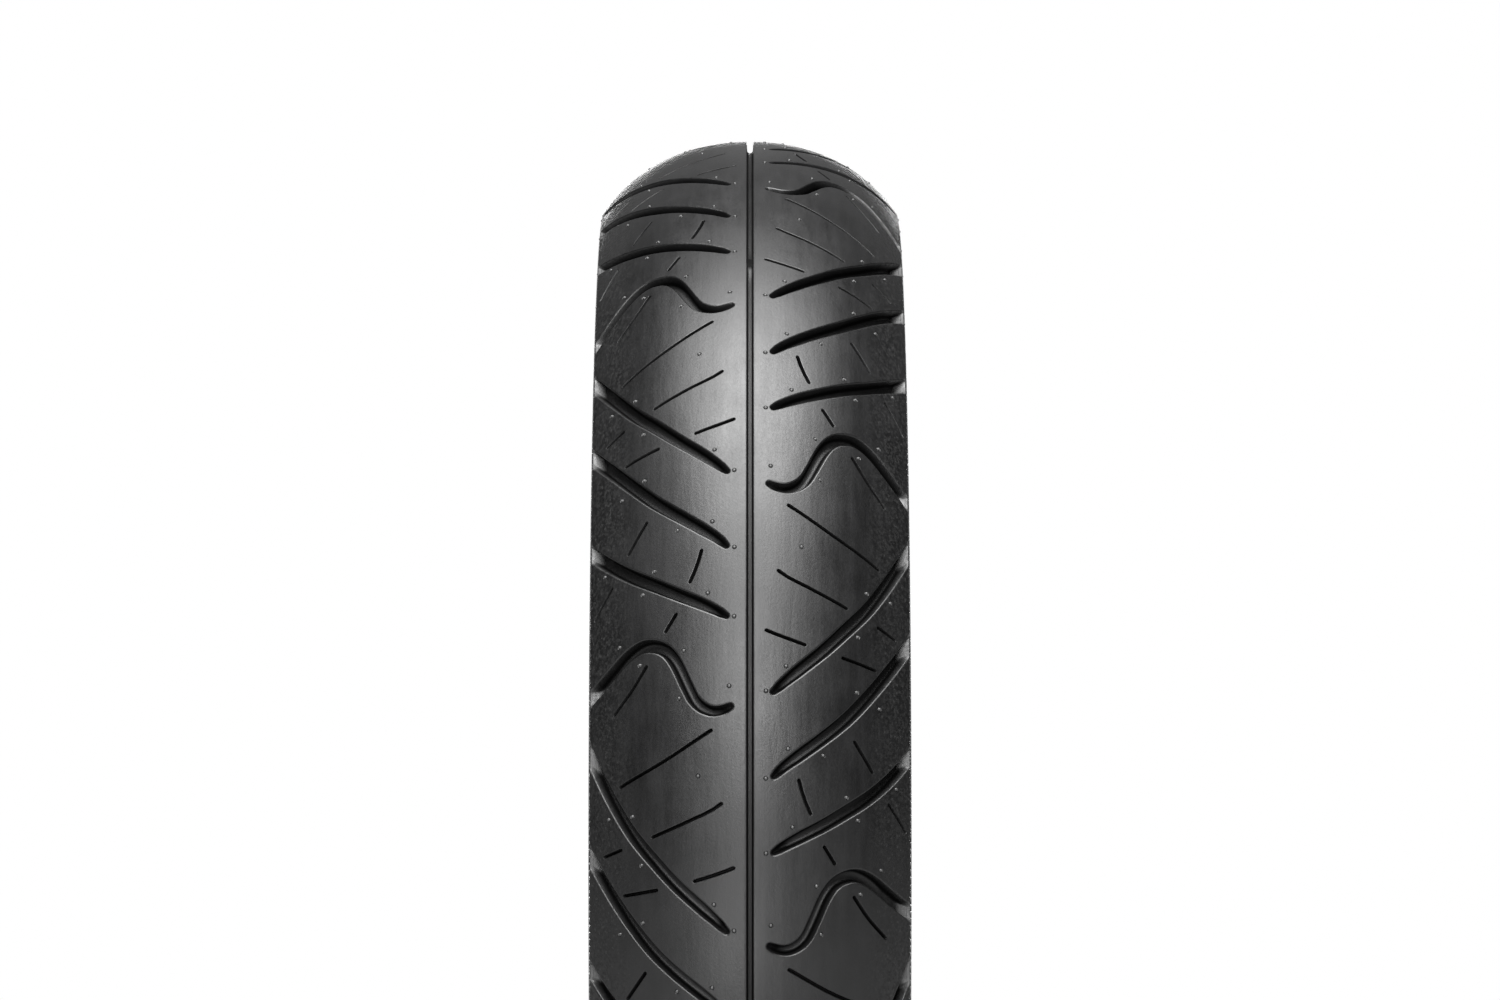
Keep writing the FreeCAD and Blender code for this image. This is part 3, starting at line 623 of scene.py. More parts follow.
def make_tread():
    """The tread cap: tiles of pattern copied round both sides, the centre strip and a closed underside."""
    tile, tile_faces = tread_tile()
    points, faces = [], []
    count = 0

    def take(rows, some_faces, flip):
        nonlocal count
        points.append(tread_point(rows[:, 0], rows[:, 1], rows[:, 2]))
        for f in some_faces:
            g = f[::-1] if flip else f
            faces.append(tuple(i + count for i in g))
        count += len(rows)

    for n in range(PITCHES):
        right = tile + np.array([0, RIGHT_PHASE + n * PITCH, 0])
        take(right, tile_faces, False)
        left = tile * np.array([-1, 1, 1]) + np.array([0, LEFT_PHASE + n * PITCH, 0])
        take(left, tile_faces, True)
    start = RIGHT_PHASE + TILE_START
    take(*centre_strip(start + np.arange(STRIP_STEPS) * 360 / STRIP_STEPS), False)
    take(*tread_underside(start + np.arange(EDGE_STEPS) * 360 / EDGE_STEPS), False)
    piece = new_piece("tread", np.vstack(points), faces, ["tread_cap"])
    depth, wanted = crown_depth(vertices_mm(piece.data))
    set_normals(piece.data, np.abs(depth) < ON_SURFACE, wanted)
    # painted highlight on nubs and exit facets, painted shade in the grooves
    pale, dark = tread_masks(depth, wanted)
    add_mask(piece.data, "painted_highlight_mask", pale)
    add_mask(piece.data, "shaded", dark)
    return piece


tread = make_tread()


# ---- Sidewalls ----------------------------------------------------------------------------------
# A place on a sidewall is (s, t): s mm down its outside from the tread's edge, and t as above. The outside
# is a straight slope, then an arc in from the widest point, then the hollow arc round the rim's flange.
FLANGE_Y, FLANGE_R, FLANGE_ARC = 54.5, 223.5, 10.0
SIDE_TOP_R = 265.0
RIM_STRIP_AT = math.radians(140)
EDGE_Y, EDGE_R = (float(value[0]) for value in crown(np.array([SHOULDER_U]))[:2])
ARC_REACH, ARC_DROP = SIDE_Y + FLANGE_ARC, SIDE_TOP_R - FLANGE_R
SIDE_CENTRE_Y = (ARC_REACH**2 - FLANGE_Y**2 - ARC_DROP**2) / (2 * (ARC_REACH - FLANGE_Y))
SIDE_ARC = SIDE_Y - SIDE_CENTRE_Y
FLANGE_AT = math.pi - math.atan2(ARC_DROP, FLANGE_Y - SIDE_CENTRE_Y)
STRAIGHT_S = math.hypot(SIDE_Y - EDGE_Y, EDGE_R - SIDE_TOP_R)
ARC_S = STRAIGHT_S + SIDE_ARC * (math.pi - FLANGE_AT)
SIDE_END_S = ARC_S + FLANGE_ARC * (RIM_STRIP_AT - FLANGE_AT)
SIDE_FLAT_R = 252.0  # mean radius of a sidewall, for laying its relief out flat
WALL_INSIDE = 1.5  # how far under the surface the sidewall mesh is closed


def side_point(s, t, depth):
    """Points at a depth under the right sidewall's outside, in mm."""
    down = np.minimum(s, STRAIGHT_S) / STRAIGHT_S
    y = EDGE_Y + (SIDE_Y - EDGE_Y) * down
    r = EDGE_R + (SIDE_TOP_R - EDGE_R) * down
    ny = np.full(len(s), (EDGE_R - SIDE_TOP_R) / STRAIGHT_S)
    nr = np.full(len(s), (SIDE_Y - EDGE_Y) / STRAIGHT_S)
    on_arc = s > STRAIGHT_S
    a = -(np.minimum(s, ARC_S) - STRAIGHT_S) / SIDE_ARC
    y = np.where(on_arc, SIDE_CENTRE_Y + SIDE_ARC * np.cos(a), y)
    r = np.where(on_arc, SIDE_TOP_R + SIDE_ARC * np.sin(a), r)
    ny, nr = np.where(on_arc, np.cos(a), ny), np.where(on_arc, np.sin(a), nr)
    on_flange = s > ARC_S
    b = FLANGE_AT + (s - ARC_S) / FLANGE_ARC
    y = np.where(on_flange, FLANGE_Y + FLANGE_ARC * np.cos(b), y)
    r = np.where(on_flange, FLANGE_R + FLANGE_ARC * np.sin(b), r)
    ny, nr = np.where(on_flange, -np.cos(b), ny), np.where(on_flange, -np.sin(b), nr)
    y, r = y - depth * ny, r - depth * nr
    angle = np.radians(t)
    return np.stack([r * np.sin(angle), y, r * np.cos(angle)], axis=-1)


def side_depth(points):
    """Depth under a sidewall's outside, and the outward normal, for points in mm on either side."""
    y, r = np.abs(points[:, 1]), np.hypot(points[:, 0], points[:, 2])
    ny = np.full(len(y), (EDGE_R - SIDE_TOP_R) / STRAIGHT_S)
    nr = np.full(len(y), (SIDE_Y - EDGE_Y) / STRAIGHT_S)
    depth = -((y - SIDE_Y) * ny + (r - SIDE_TOP_R) * nr)
    dy, dr = y - SIDE_CENTRE_Y, r - SIDE_TOP_R
    far = np.hypot(dy, dr)
    on_arc = r < SIDE_TOP_R
    depth = np.where(on_arc, SIDE_ARC - far, depth)
    ny, nr = np.where(on_arc, dy / far, ny), np.where(on_arc, dr / far, nr)
    dy, dr = y - FLANGE_Y, r - FLANGE_R
    far = np.hypot(dy, dr)
    on_flange = on_arc & (np.arctan2(dr, dy) > FLANGE_AT) & (r < FLANGE_R + FLANGE_ARC + 1.5)
    depth = np.where(on_flange, far - FLANGE_ARC, depth)
    ny, nr = np.where(on_flange, -dy / far, ny), np.where(on_flange, -dr / far, nr)
    share = nr / np.hypot(points[:, 0], points[:, 2])
    normal = np.column_stack([points[:, 0] * share, np.sign(points[:, 1]) * ny, points[:, 2] * share])
    return depth, normal


def offset_outline(outline, distance):
    """A closed outline in flat coordinates moved outwards, with mitred corners."""
    x, y = outline.T
    turning = np.sign((x * np.roll(y, -1) - np.roll(x, -1) * y).sum())
    before, after = outline - np.roll(outline, 1, axis=0), np.roll(outline, -1, axis=0) - outline
    n0 = before[:, ::-1] * [turning, -turning] / np.linalg.norm(before, axis=1)[:, None]
    n1 = after[:, ::-1] * [turning, -turning] / np.linalg.norm(after, axis=1)[:, None]
    mitre = n0 + n1
    mitre /= np.linalg.norm(mitre, axis=1)[:, None]
    reach = 1 / np.maximum((mitre * n0).sum(axis=1), 0.4)
    return outline + mitre * reach[:, None] * distance


def add_rings(relief, outline, levels):
    """Rings round a flat outline, each moved outwards by its first number and raised by its second."""
    rings = []
    for extra, height in levels:
        moved = unflat(offset_outline(outline, extra), SIDE_FLAT_R)
        rings.append(relief.add(np.column_stack([moved, np.full(len(moved), -height)])))
    for a, b in zip(rings, rings[1:]):
        relief.bridge(a, b)
    relief.hole(rings[0])
    return rings[-1]


PAD_LEVELS = [(2.2, 0.0), (1.9, 0.08), (1.7, 0.5), (1.55, 0.6), (0.35, 0.6), (0.15, 0.52), (0.0, 0.3)]


def add_pad(relief, s_range, t_range, lean, rows=5, columns=26):
    """A blank raised plate with a rim round it. Its ends lean by so many degrees."""
    u = np.linspace(*s_range, rows + 1)
    share = np.linspace(0, 1, rows + 1)
    grid = []
    for i in range(rows + 1):
        t = np.linspace(*t_range, columns + 1) + lean * (share[i] - 0.5)
        grid.append(np.column_stack([np.full(columns + 1, u[i]), t]))
    grid = np.array(grid)
    edge = [(0, j) for j in range(columns)] + [(i, columns) for i in range(rows)]
    edge += [(rows, j) for j in range(columns, 0, -1)] + [(i, 0) for i in range(rows, 0, -1)]
    outline = flat([grid[i, j] for i, j in edge], SIDE_FLAT_R)
    last = add_rings(relief, outline, PAD_LEVELS)
    number = dict(zip(edge, last))
    for i in range(1, rows):
        for j in range(1, columns):
            number[i, j] = relief.add([(grid[i, j, 0], grid[i, j, 1], -PAD_LEVELS[-1][1])])[0]
    for i in range(rows):
        for j in range(columns):
            relief.faces.append((number[i, j], number[i, j + 1], number[i + 1, j + 1], number[i + 1, j]))


ARROW = [(-1.7, -11), (-1.7, 0.5), (-5.0, 0.5), (0.0, 10.5), (5.0, 0.5), (1.7, 0.5), (1.7, -11)]
ARROW_LEVELS = [(0.45, 0.0), (0.25, 0.06), (0.1, 0.45), (0.0, 0.55)]


def add_arrow(relief, s, t):
    """A raised arrow that shows which way the wheel turns."""
    corners = np.array(ARROW, float) + flat([(s, t)], SIDE_FLAT_R)[0]
    outline = []
    for a, b in zip(corners, np.roll(corners, -1, axis=0)):
        steps = max(1, int(np.linalg.norm(b - a) / 2.0))
        outline.extend(a + (b - a) * k / steps for k in range(steps))
    top = add_rings(relief, np.array(outline), ARROW_LEVELS)
    relief.faces.append(tuple(top))


RIB_LEVELS = [(0.4, 0.0), (0.14, 0.06), (0.0, 0.3), (-0.2, -0.001)]
SERRATION_END, PANEL_START, PANEL_END = 9.2, 12.4, 38.4
SIDE_VENTS = (-13.15, -4.75, 4.3, 10.6, 16.8)
SIDE_STEP = 0.75  # degrees between the sidewalls' columns of vertices
SIDE_TILES = ["pad", "hatch", "arrow", "vents", "hatch", "pad", "hatch", "arrow", "vents", "hatch"]
NUB_LEVELS = [(0.8, 0.0), (0.6, 0.06), (0.5, -0.3), (0.38, -0.5)]


def serrated_tile():
    """A pitch of the ribbed band just under the tread's edge."""
    relief = Relief()
    for n in range(60):
        t = TILE_START + 0.3 + 0.6 * n
        add_slot(relief, [(3.0, t), (8.2, t)], 0.62, RIB_LEVELS, -0.42, 6.0, cap=1, flat_r=SIDE_FLAT_R)
    for t in SIDE_VENTS:
        add_pip(relief, (1.15, t), 6, SIDE_FLAT_R, NUB_LEVELS)
    rows = np.linspace(0.0, SERRATION_END, 4)
    steps = int(PITCH / SIDE_STEP)
    add_land(relief, rows, TILE_START, TILE_START + PITCH, steps, steps, 4.6, SIDE_FLAT_R)
    return np.array(relief.points), relief.faces


def panel_tile(kind):
    """A pitch of the wide panel between the two raised lines."""
    relief = Relief()
    middle = TILE_START + PITCH / 2
    if kind == "pad":
        add_pad(relief, (19.5, 31.0), (middle - 13.5, middle + 13.5), 2.6)
    elif kind == "arrow":
        add_arrow(relief, 25.2, middle)
        for side in (-1, 1):
            for n in range(5):
                t = middle + side * (6.2 + 1.5 * n)
                rib = [(18.5 + n, t), (32.0 - n, t)]
                add_slot(relief, rib, 0.8, RIB_LEVELS, -0.45, 4.5, flat_r=SIDE_FLAT_R)
    elif kind == "hatch":
        for n in range(20):
            t = middle - 14.25 + 1.5 * n
            rib = [(20.0, t - 1.3), (31.0, t + 1.3)]
            add_slot(relief, rib, 0.5, RIB_LEVELS, -0.35, 5.5, cap=2, flat_r=SIDE_FLAT_R)
    for t in (middle - 15.2, middle - 5.0, middle + 6.4):
        add_pip(relief, (15.3, t), 8, SIDE_FLAT_R, NUB_LEVELS)
        add_pip(relief, (35.8, t + 2.5), 8, SIDE_FLAT_R, NUB_LEVELS)
    rows = np.linspace(PANEL_START, PANEL_END, 8)
    steps = int(PITCH / SIDE_STEP)
    add_land(relief, rows, TILE_START, TILE_START + PITCH, steps, steps, 4.2, SIDE_FLAT_R)
    return np.array(relief.points), relief.faces


# The raised line over the panel, then the wide line and the three thin ones under it, as (s, depth)
UPPER_LINE = [
    (SERRATION_END, 0.0), (9.8, 0.0), (10.0, -0.12), (10.2, -0.42), (10.5, -0.5), (11.1, -0.5),
    (11.4, -0.42), (11.6, -0.12), (11.8, 0.0), (PANEL_START, 0.0),
]
LOWER_LINES = [
    (PANEL_END, 0.0), (39.0, 0.0), (39.25, -0.15), (39.5, -0.6), (39.9, -0.75), (41.6, -0.75), (42.0, -0.6),
    (42.25, -0.15), (42.5, 0.0), (44.0, 0.0), (44.25, -0.25), (44.6, -0.25), (44.85, 0.0), (45.8, 0.0),
    (46.05, -0.25), (46.4, -0.25), (46.65, 0.0), (47.6, 0.0), (47.85, -0.25), (48.2, -0.25), (48.45, 0.0),
    (49.8, 0.0),
]


def turned(profile):
    """A (s, depth) profile carried right round, as (s, t, depth) rows and faces."""
    t_of = TILE_START + np.arange(int(360 / SIDE_STEP)) * SIDE_STEP
    return carried_round(lambda t: [(s, t, d) for s, d in profile], t_of)


def make_side(name, sign, phase):
    """A sidewall with its relief. sign is 1 on the right and -1 on the left."""
    points, faces = [], []
    count = 0

    def take(rows, some_faces, turn):
        nonlocal count
        placed = side_point(rows[:, 0], rows[:, 1] + turn, rows[:, 2]) * [1, sign, 1]
        points.append(placed)
        faces.extend(tuple(i + count for i in f) for f in some_faces)
        count += len(rows)

    for n, kind in enumerate(SIDE_TILES):
        take(*SERRATED, phase + n * PITCH)
        take(*PANEL_TILES[kind], phase + n * PITCH)
    take(*turned(UPPER_LINE), phase)
    under = [(s, WALL_INSIDE) for s in np.linspace(SIDE_END_S, 0.0, 12)]
    take(*turned(LOWER_LINES + [(SIDE_END_S, 0.0)] + under + [(0.0, 0.0)]), phase)
    piece = new_piece(name, np.vstack(points), faces, [name.replace("_outer", "")])
    depth, wanted = side_depth(vertices_mm(piece.data))
    set_normals(piece.data, np.abs(depth) < ON_SURFACE, wanted)
    # raised relief on the sidewall painted half as pale: a painted highlight on its tops
    add_mask(piece.data, "painted_highlight_mask", np.clip(-depth / 0.3, 0, 1) * 0.5)
    return piece


SERRATED = serrated_tile()
PANEL_TILES = {kind: panel_tile(kind) for kind in sorted(set(SIDE_TILES))}
side_right = make_side("sidewall_right_outer", 1, RIGHT_PHASE)
side_left = make_side("sidewall_left_outer", -1, LEFT_PHASE)


# ---- Materials ----------------------------------------------------------------------------------
class Paint:
    """A material being built, with a short method for each kind of node."""

    def __init__(self, name):
        self.material = bpy.data.materials.new(name)
        self.material.use_nodes = True
        self.nodes = self.material.node_tree.nodes
        self.links = self.material.node_tree.links
        self.bsdf = self.nodes["Principled BSDF"]

    def feed(self, socket, value):
        """Links a socket to another, or sets it to a number, a grey level or a colour."""
        if isinstance(value, bpy.types.NodeSocket):
            self.links.new(value, socket)
        elif socket.type == "RGBA" and isinstance(value, (int, float)):
            socket.default_value = (value, value, value, 1)
        else:
            socket.default_value = value

    def surface(self, **values):
        """Feeds the shader's own sockets: base_color goes to its Base Color, and so on."""
        for name, value in values.items():
            self.feed(self.bsdf.inputs[name.replace("_", " ").title().replace("Ior", "IOR")], value)

    def place_on_wheel(self):
        """Object coordinates, the distance from the axle, the angle round it and the place along it."""
        self.place = self.nodes.new("ShaderNodeTexCoord").outputs["Object"]
        split = self.nodes.new("ShaderNodeSeparateXYZ")
        self.links.new(self.place, split.inputs[0])
        x, self.y, z = split.outputs
        squares = self.add(self.multiply(x, x), self.multiply(z, z))
        self.radius = self.calculate("SQRT", squares)
        self.angle = self.calculate("ARCTAN2", x, z)
        self.out = self.calculate("ABSOLUTE", self.y)

    def calculate(self, operation, a, b=None, clamp=False):
        node = self.nodes.new("ShaderNodeMath")
        node.operation = operation
        node.use_clamp = clamp
        self.feed(node.inputs[0], a)
        if b is not None:
            self.feed(node.inputs[1], b)
        return node.outputs[0]

    def add(self, a, b):
        return self.calculate("ADD", a, b)

    def multiply(self, a, b):
        return self.calculate("MULTIPLY", a, b)

    def sine(self, phase):
        return self.calculate("SINE", phase)

    def noise(self, scale, detail=2.0, roughness=0.5, source=None):
        """A noise texture at a scale in cycles per metre."""
        node = self.nodes.new("ShaderNodeTexNoise")
        node.inputs["Scale"].default_value = scale
        node.inputs["Detail"].default_value = detail
        node.inputs["Roughness"].default_value = roughness
        self.links.new(source or self.place, node.inputs["Vector"])
        return node.outputs["Fac"]

    def streaks(self, scale):
        """Noise drawn out round the wheel, as rubber that has flowed in its mould."""
        join = self.nodes.new("ShaderNodeCombineXYZ")
        for socket, value in zip(join.inputs, (self.multiply(self.angle, 0.05), self.y, self.radius)):
            self.links.new(value, socket)
        return self.noise(scale, 3.0, 0.6, join.outputs[0])

    def ramp(self, source, *stops):
        """A colour ramp with two stops, each a place and a grey level or colour."""
        node = self.nodes.new("ShaderNodeValToRGB")
        for element, (place, value) in zip(node.color_ramp.elements, stops):
            element.position = place
            element.color = value if isinstance(value, tuple) else (value, value, value, 1)
        self.links.new(source, node.inputs["Fac"])
        return node.outputs["Color"]

    def blend(self, factor, low, high):
        """Mixes two colours, each a socket, a colour or a grey level, by a socket."""
        node = self.nodes.new("ShaderNodeMixRGB")
        self.links.new(factor, node.inputs["Fac"])
        self.feed(node.inputs["Color1"], low)
        self.feed(node.inputs["Color2"], high)
        return node.outputs["Color"]

    def mask(self, name):
        """A mesh's own value from 0 to 1."""
        node = self.nodes.new("ShaderNodeAttribute")
        node.attribute_name = name
        return node.outputs["Fac"]

    def bumps(self, layers):
        """Stacks bumps: (height, distance in metres, strength)."""
        normal = None
        for height, distance, strength in layers:
            node = self.nodes.new("ShaderNodeBump")
            node.inputs["Distance"].default_value = distance
            node.inputs["Strength"].default_value = strength
            self.links.new(height, node.inputs["Height"])
            if normal is not None:
                self.links.new(normal, node.inputs["Normal"])
            normal = node.outputs["Normal"]
        self.links.new(normal, self.bsdf.inputs["Normal"])


def cool(grey):
    """A grey with a trace of blue."""
    return (grey, grey, grey * 1.03, 1)


def rubber(name, greys, roughness, grain=1.0, lines=None, dust_from=None, highlight_grey=None, shade=False):
    """Moulded rubber: cloudy flow marks, streaks, fine grain and small pale specks.

    lines is the spacing in metres of fine lines round the wheel. dust_from is the distance from the
    centre line where the duller, speckled skin of the shoulder begins. The grey for the marked pale
    places (nubs, exit facets, raised relief) is a painted highlight, and shade paints shade into the walls of
    grooves.
    """
    dark, light = greys
    paint = Paint(name)
    paint.place_on_wheel()
    cloud = paint.noise(55.0, 3.0, 0.55)
    fine = paint.noise(900.0, 2.0, 0.6)
    marks = paint.multiply(paint.add(cloud, paint.streaks(260.0)), 0.5)
    colour = paint.ramp(marks, (0.36, cool(dark)), (0.64, cool(light)))
    specks = paint.ramp(paint.noise(1500.0, 1.0), (0.69, 0.0), (0.78, 0.3))
    colour = paint.blend(specks, colour, light * 3.5)
    wear = paint.add(paint.multiply(marks, 0.65), paint.multiply(fine, 0.35))
    rough = paint.ramp(wear, (0.36, roughness[0]), (0.64, roughness[1]))
    if dust_from is not None:
        past = paint.calculate("SUBTRACT", paint.out, dust_from)
        shoulder = paint.calculate("MULTIPLY", past, 80.0, clamp=True)
        dirt = paint.ramp(paint.noise(620.0, 3.0, 0.65), (0.46, 0.0), (0.6, 1.0))
        dirt = paint.multiply(shoulder, dirt)
        colour = paint.blend(dirt, colour, dark * 0.3)
        rough = paint.blend(dirt, rough, 0.7)
        grit = paint.ramp(paint.noise(800.0, 1.0), (0.6, 0.0), (0.7, 0.7))
        colour = paint.blend(paint.multiply(shoulder, grit), colour, light * 3.2)
    # painted highlight: the marked pale places take a lighter grey
    if highlight_grey is not None:
        highlighted = paint.multiply(paint.mask("painted_highlight_mask"), paint.add(cloud, 0.4))
        colour = paint.blend(highlighted, colour, highlight_grey)
    # painted shade: groove walls and floors darker and less shiny
    if shade:
        walls = paint.mask("shaded")
        colour = paint.blend(walls, colour, dark * 0.25)
        rough = paint.blend(walls, rough, 0.6)
        paint.surface(specular_ior_level=paint.ramp(walls, (0.0, 0.5), (1.0, 0.08)))
    paint.surface(base_color=colour, roughness=rough)
    layers = [
        (paint.noise(24.0), 0.0012, 0.3),
        (marks, 0.0004, 0.45 * grain),
        (fine, 0.00006, 0.8 * grain),
    ]
    if lines is not None:
        wave = paint.sine(paint.multiply(paint.add(paint.radius, paint.out), 2 * math.pi / lines))
        layers.append((wave, 0.00008, 0.5))
    paint.bumps(layers)
    return paint.material


def lining(name):
    """The airtight inside, printed by the crossed ridges of the curing bladder."""
    paint = Paint(name)
    paint.place_on_wheel()
    cloud = paint.noise(45.0, 3.0, 0.6)
    fine = paint.noise(700.0, 2.0, 0.6)
    crossed = []
    for slope in (260.0, -260.0):
        phase = paint.add(paint.multiply(paint.angle, 90.0), paint.multiply(paint.y, slope))
        wave = paint.calculate("ABSOLUTE", paint.sine(phase))
        crossed.append(paint.ramp(wave, (0.0, 1.0), (0.16, 0.0)))
    ridges = paint.calculate("MAXIMUM", *crossed)
    colour = paint.ramp(cloud, (0.3, (0.009, 0.009, 0.01, 1)), (0.7, (0.019, 0.019, 0.02, 1)))
    paint.surface(
        base_color=paint.blend(ridges, colour, 0.024),
        roughness=paint.ramp(fine, (0.3, 0.42), (0.7, 0.58)),
    )
    paint.bumps([(cloud, 0.0006, 0.5), (ridges, 0.0003, 0.8), (fine, 0.00008, 0.7)])
    return paint.material


def cords(name, rubber_grey, cord_colour, count, slope):
    """Parallel cords in a skim of rubber: count of them round the wheel, slanted by slope radians a metre."""
    paint = Paint(name)
    paint.place_on_wheel()
    across = paint.multiply(paint.add(paint.y, paint.radius), slope)
    wave = paint.sine(paint.add(paint.multiply(paint.angle, count), across))
    rise = paint.add(paint.multiply(wave, 0.5), 0.5)
    fuzz = paint.noise(1200.0, 2.0, 0.6)
    bare = paint.multiply(paint.ramp(rise, (0.45, 0.0), (0.8, 1.0)), fuzz)
    paint.surface(
        base_color=paint.blend(bare, rubber_grey, cord_colour),
        roughness=paint.ramp(fuzz, (0.3, 0.55), (0.7, 0.8)),
    )
    paint.bumps([(rise, 0.0004, 0.9), (fuzz, 0.0001, 0.6)])
    return paint.material


def woven(name):
    """Square-woven chafer cloth under a skim of rubber."""
    paint = Paint(name)
    paint.place_on_wheel()
    warp = paint.sine(paint.multiply(paint.angle, 1300.0))
    weft = paint.sine(paint.multiply(paint.add(paint.radius, paint.out), 6000.0))
    rise = paint.add(paint.multiply(paint.multiply(warp, weft), 0.5), 0.5)
    fuzz = paint.noise(1100.0, 2.0, 0.6)
    paint.surface(
        base_color=paint.blend(rise, (0.012, 0.011, 0.01, 1), (0.05, 0.044, 0.036, 1)),
        roughness=paint.ramp(fuzz, (0.3, 0.6), (0.7, 0.85)),
    )
    paint.bumps([(rise, 0.0003, 0.9), (fuzz, 0.0001, 0.6)])
    return paint.material


def wire(name):
    """Bronze-plated bead wire, with lines from drawing and dull patches."""
    paint = Paint(name)
    paint.place_on_wheel()
    drawn = paint.streaks(3000.0)
    patch = paint.noise(180.0, 3.0, 0.6)
    wear = paint.multiply(paint.add(drawn, patch), 0.5)
    paint.surface(
        base_color=paint.ramp(patch, (0.3, (0.30, 0.20, 0.11, 1)), (0.7, (0.52, 0.40, 0.27, 1))),
        metallic=1.0,
        roughness=paint.ramp(wear, (0.35, 0.22), (0.65, 0.48)),
    )
    paint.bumps([(drawn, 0.00005, 0.6)])
    return paint.material


MATERIALS = {
    "tread_rubber": rubber(
        "tread_rubber", (0.0034, 0.0065), (0.35, 0.47), dust_from=0.045, highlight_grey=0.065, shade=True
    ),
    "base_rubber": rubber("base_rubber", (0.010, 0.018), (0.45, 0.6), 1.4),
    "side_rubber": rubber("side_rubber", (0.008, 0.014), (0.36, 0.5), 1.3, highlight_grey=0.07),
    "rim_rubber": rubber("rim_rubber", (0.009, 0.015), (0.36, 0.5), 1.1, lines=0.0012),
    "apex_rubber": rubber("apex_rubber", (0.012, 0.020), (0.5, 0.65), 1.4),
    "liner_rubber": lining("liner_rubber"),
    "ply_fabric": cords("ply_fabric", 0.014, (0.16, 0.11, 0.06, 1), 1292, 2040.0),
    "belt_fabric": cords("belt_fabric", 0.014, (0.13, 0.10, 0.07, 1), 760, -3900.0),
    "chafer_fabric": woven("chafer_fabric"),
    "bead_steel": wire("bead_steel"),
}

tread.data.materials.append(MATERIALS["tread_rubber"])
for piece in (side_right, side_left):
    piece.data.materials.append(MATERIALS["side_rubber"])
for part in frame["record"]["subparts"]:
    node = frame["nodes"][part["node"]]
    node.data.materials.clear()
    node.data.materials.append(MATERIALS[part["material_slot"]])

# ---- Floor, light and camera, in metres ---------------------------------------------------------
FLOOR_Z = CAD_BOX[0].z
FLOOR_R = 4.5


def make_floor():
    mesh = bpy.data.meshes.new("floor")
    bm = bmesh.new()
    at_foot = Matrix.Translation((0, 0, FLOOR_Z))
    bmesh.ops.create_circle(bm, cap_ends=True, radius=FLOOR_R, segments=96, matrix=at_foot)
    bm.to_mesh(mesh)
    bm.free()
    floor = bpy.data.objects.new("floor", mesh)
    bpy.context.scene.collection.objects.link(floor)
    paint = Paint("floor_white")
    paint.surface(base_color=0.2, roughness=0.8, specular_ior_level=0.1)
    paint.surface(emission_color=1.0, emission_strength=0.36)
    mesh.materials.append(paint.material)


def area_light(name, place, target, size, size_y, radiance):
    """A soft panel of that brightness, the same from any distance, which the camera doesn't see."""
    data = bpy.data.lights.new(name, "AREA")
    data.shape = "RECTANGLE"
    data.size = size
    data.size_y = size_y
    data.energy = radiance * math.pi * size * size_y
    lamp = bpy.data.objects.new(name, data)
    lamp.location = place
    lamp.rotation_euler = (target - place).to_track_quat("-Z", "Y").to_euler()
    lamp.visible_camera = False
    bpy.context.scene.collection.objects.link(lamp)
    return lamp


# Panels round the tyre: height and bearing in degrees, distance, width and height in metres, brightness.
# The bearing is 0 at the camera's side and grows towards the left of its picture.
LIT_POINT = Vector((0.15, 0.0, 0.12))
PANELS = {
    "roof_back": (108, 0, 2.2, 0.9, 0.8, 0.8),
    "roof_core": (84, 0, 2.0, 0.8, 0.7, 6.0),
    "roof_wide": (85, 0, 2.0, 2.2, 0.8, 6.8),
    "key": (64, 0, 2.0, 1.3, 0.8, 17.5),
    "upper_front": (42, 0, 2.2, 1.4, 0.8, 7.0),
    "front_core": (18, 0, 2.6, 0.8, 0.8, 13.0),
    "front_wide": (20, 5, 2.6, 1.3, 0.8, 7.0),
    "low_front": (-3, 3, 3.2, 0.7, 0.5, 6.0),
    "low_strip": (-24, 6, 0.85, 0.34, 0.14, 7.0),
    "left": (40, 60, 2.4, 1.0, 1.4, 1.0),
    "back": (6, 180, 2.6, 1.2, 0.9, 13.0),
    "back_left": (28, 165, 2.8, 1.6, 1.6, 0.25),
    "back_right": (28, -165, 2.8, 1.6, 1.6, 0.25),
}
# Panels beside the wheel that light only its sides, as if the tread were flagged off from them
SIDE_PANELS = {
    "side_left": (38, 70, 2.3, 1.8, 1.0, 5.0),
    "side_right": (38, -70, 2.3, 1.8, 1.0, 5.0),
    "side_left_back": (50, 125, 2.3, 1.2, 1.0, 4.0),
    "side_right_back": (50, -125, 2.3, 1.2, 1.0, 4.0),
}


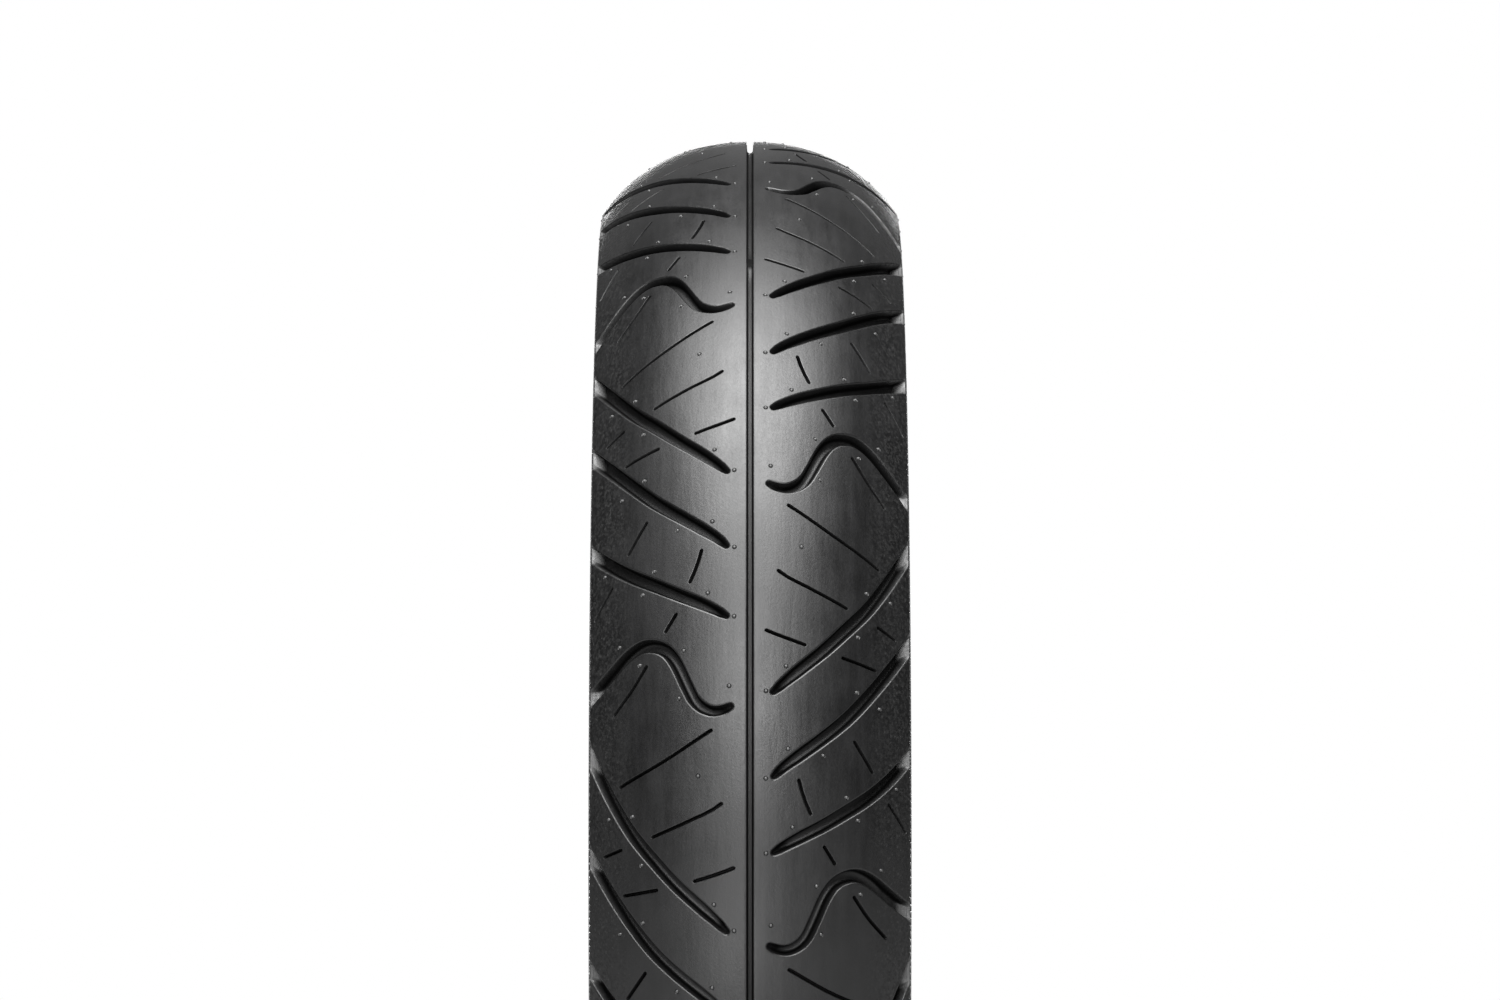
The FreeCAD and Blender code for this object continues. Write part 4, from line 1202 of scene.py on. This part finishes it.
def make_lights():
    lit_sides = bpy.data.collections.new("lit_sides")
    for lit in [side_right, side_left] + [n for name, n in frame["nodes"].items() if name != "tread_cap"]:
        lit_sides.objects.link(lit)
    for name, (height, bearing, distance, width, tall, radiance) in {**PANELS, **SIDE_PANELS}.items():
        up, round_to = math.radians(height), math.radians(bearing)
        way = Vector((math.cos(up) * math.cos(round_to), -math.cos(up) * math.sin(round_to), math.sin(up)))
        lamp = area_light(name, LIT_POINT + way * distance, LIT_POINT, width, tall, radiance)
        if name in SIDE_PANELS:
            lamp.light_linking.receiver_collection = lit_sides


def make_world():
    """Surroundings that look white but light the tyre only weakly, as dark flags beside it would."""
    world = bpy.data.worlds.new("studio")
    world.use_nodes = True
    nodes, links = world.node_tree.nodes, world.node_tree.links
    dim = nodes["Background"]
    dim.inputs["Color"].default_value = (1, 1, 1, 1)
    dim.inputs["Strength"].default_value = 0.018
    white = nodes.new("ShaderNodeBackground")
    white.inputs["Color"].default_value = (1, 1, 1, 1)
    white.inputs["Strength"].default_value = 1.0
    path = nodes.new("ShaderNodeLightPath")
    mixed = nodes.new("ShaderNodeMixShader")
    links.new(path.outputs["Is Camera Ray"], mixed.inputs[0])
    links.new(dim.outputs[0], mixed.inputs[1])
    links.new(white.outputs[0], mixed.inputs[2])
    links.new(mixed.outputs[0], nodes["World Output"].inputs["Surface"])
    bpy.context.scene.world = world
    bpy.context.scene.view_settings.view_transform = "Standard"


# The camera stands level with the axle, square to the tread, and looks up a little
CAMERA_X = 3.07
CAMERA_TILT = math.radians(2.7719)
SENSOR_MM, LENS_MM = 36, 165.9


def make_camera():
    data = bpy.data.cameras.new("camera")
    data.sensor_width = SENSOR_MM
    data.lens = LENS_MM
    camera = bpy.data.objects.new("camera", data)
    camera.location = (CAMERA_X, 0, 0)
    camera.rotation_euler = (math.pi / 2 + CAMERA_TILT, 0, math.pi / 2)
    bpy.context.scene.collection.objects.link(camera)
    bpy.context.scene.camera = camera


make_floor()
make_lights()
make_world()
make_camera()
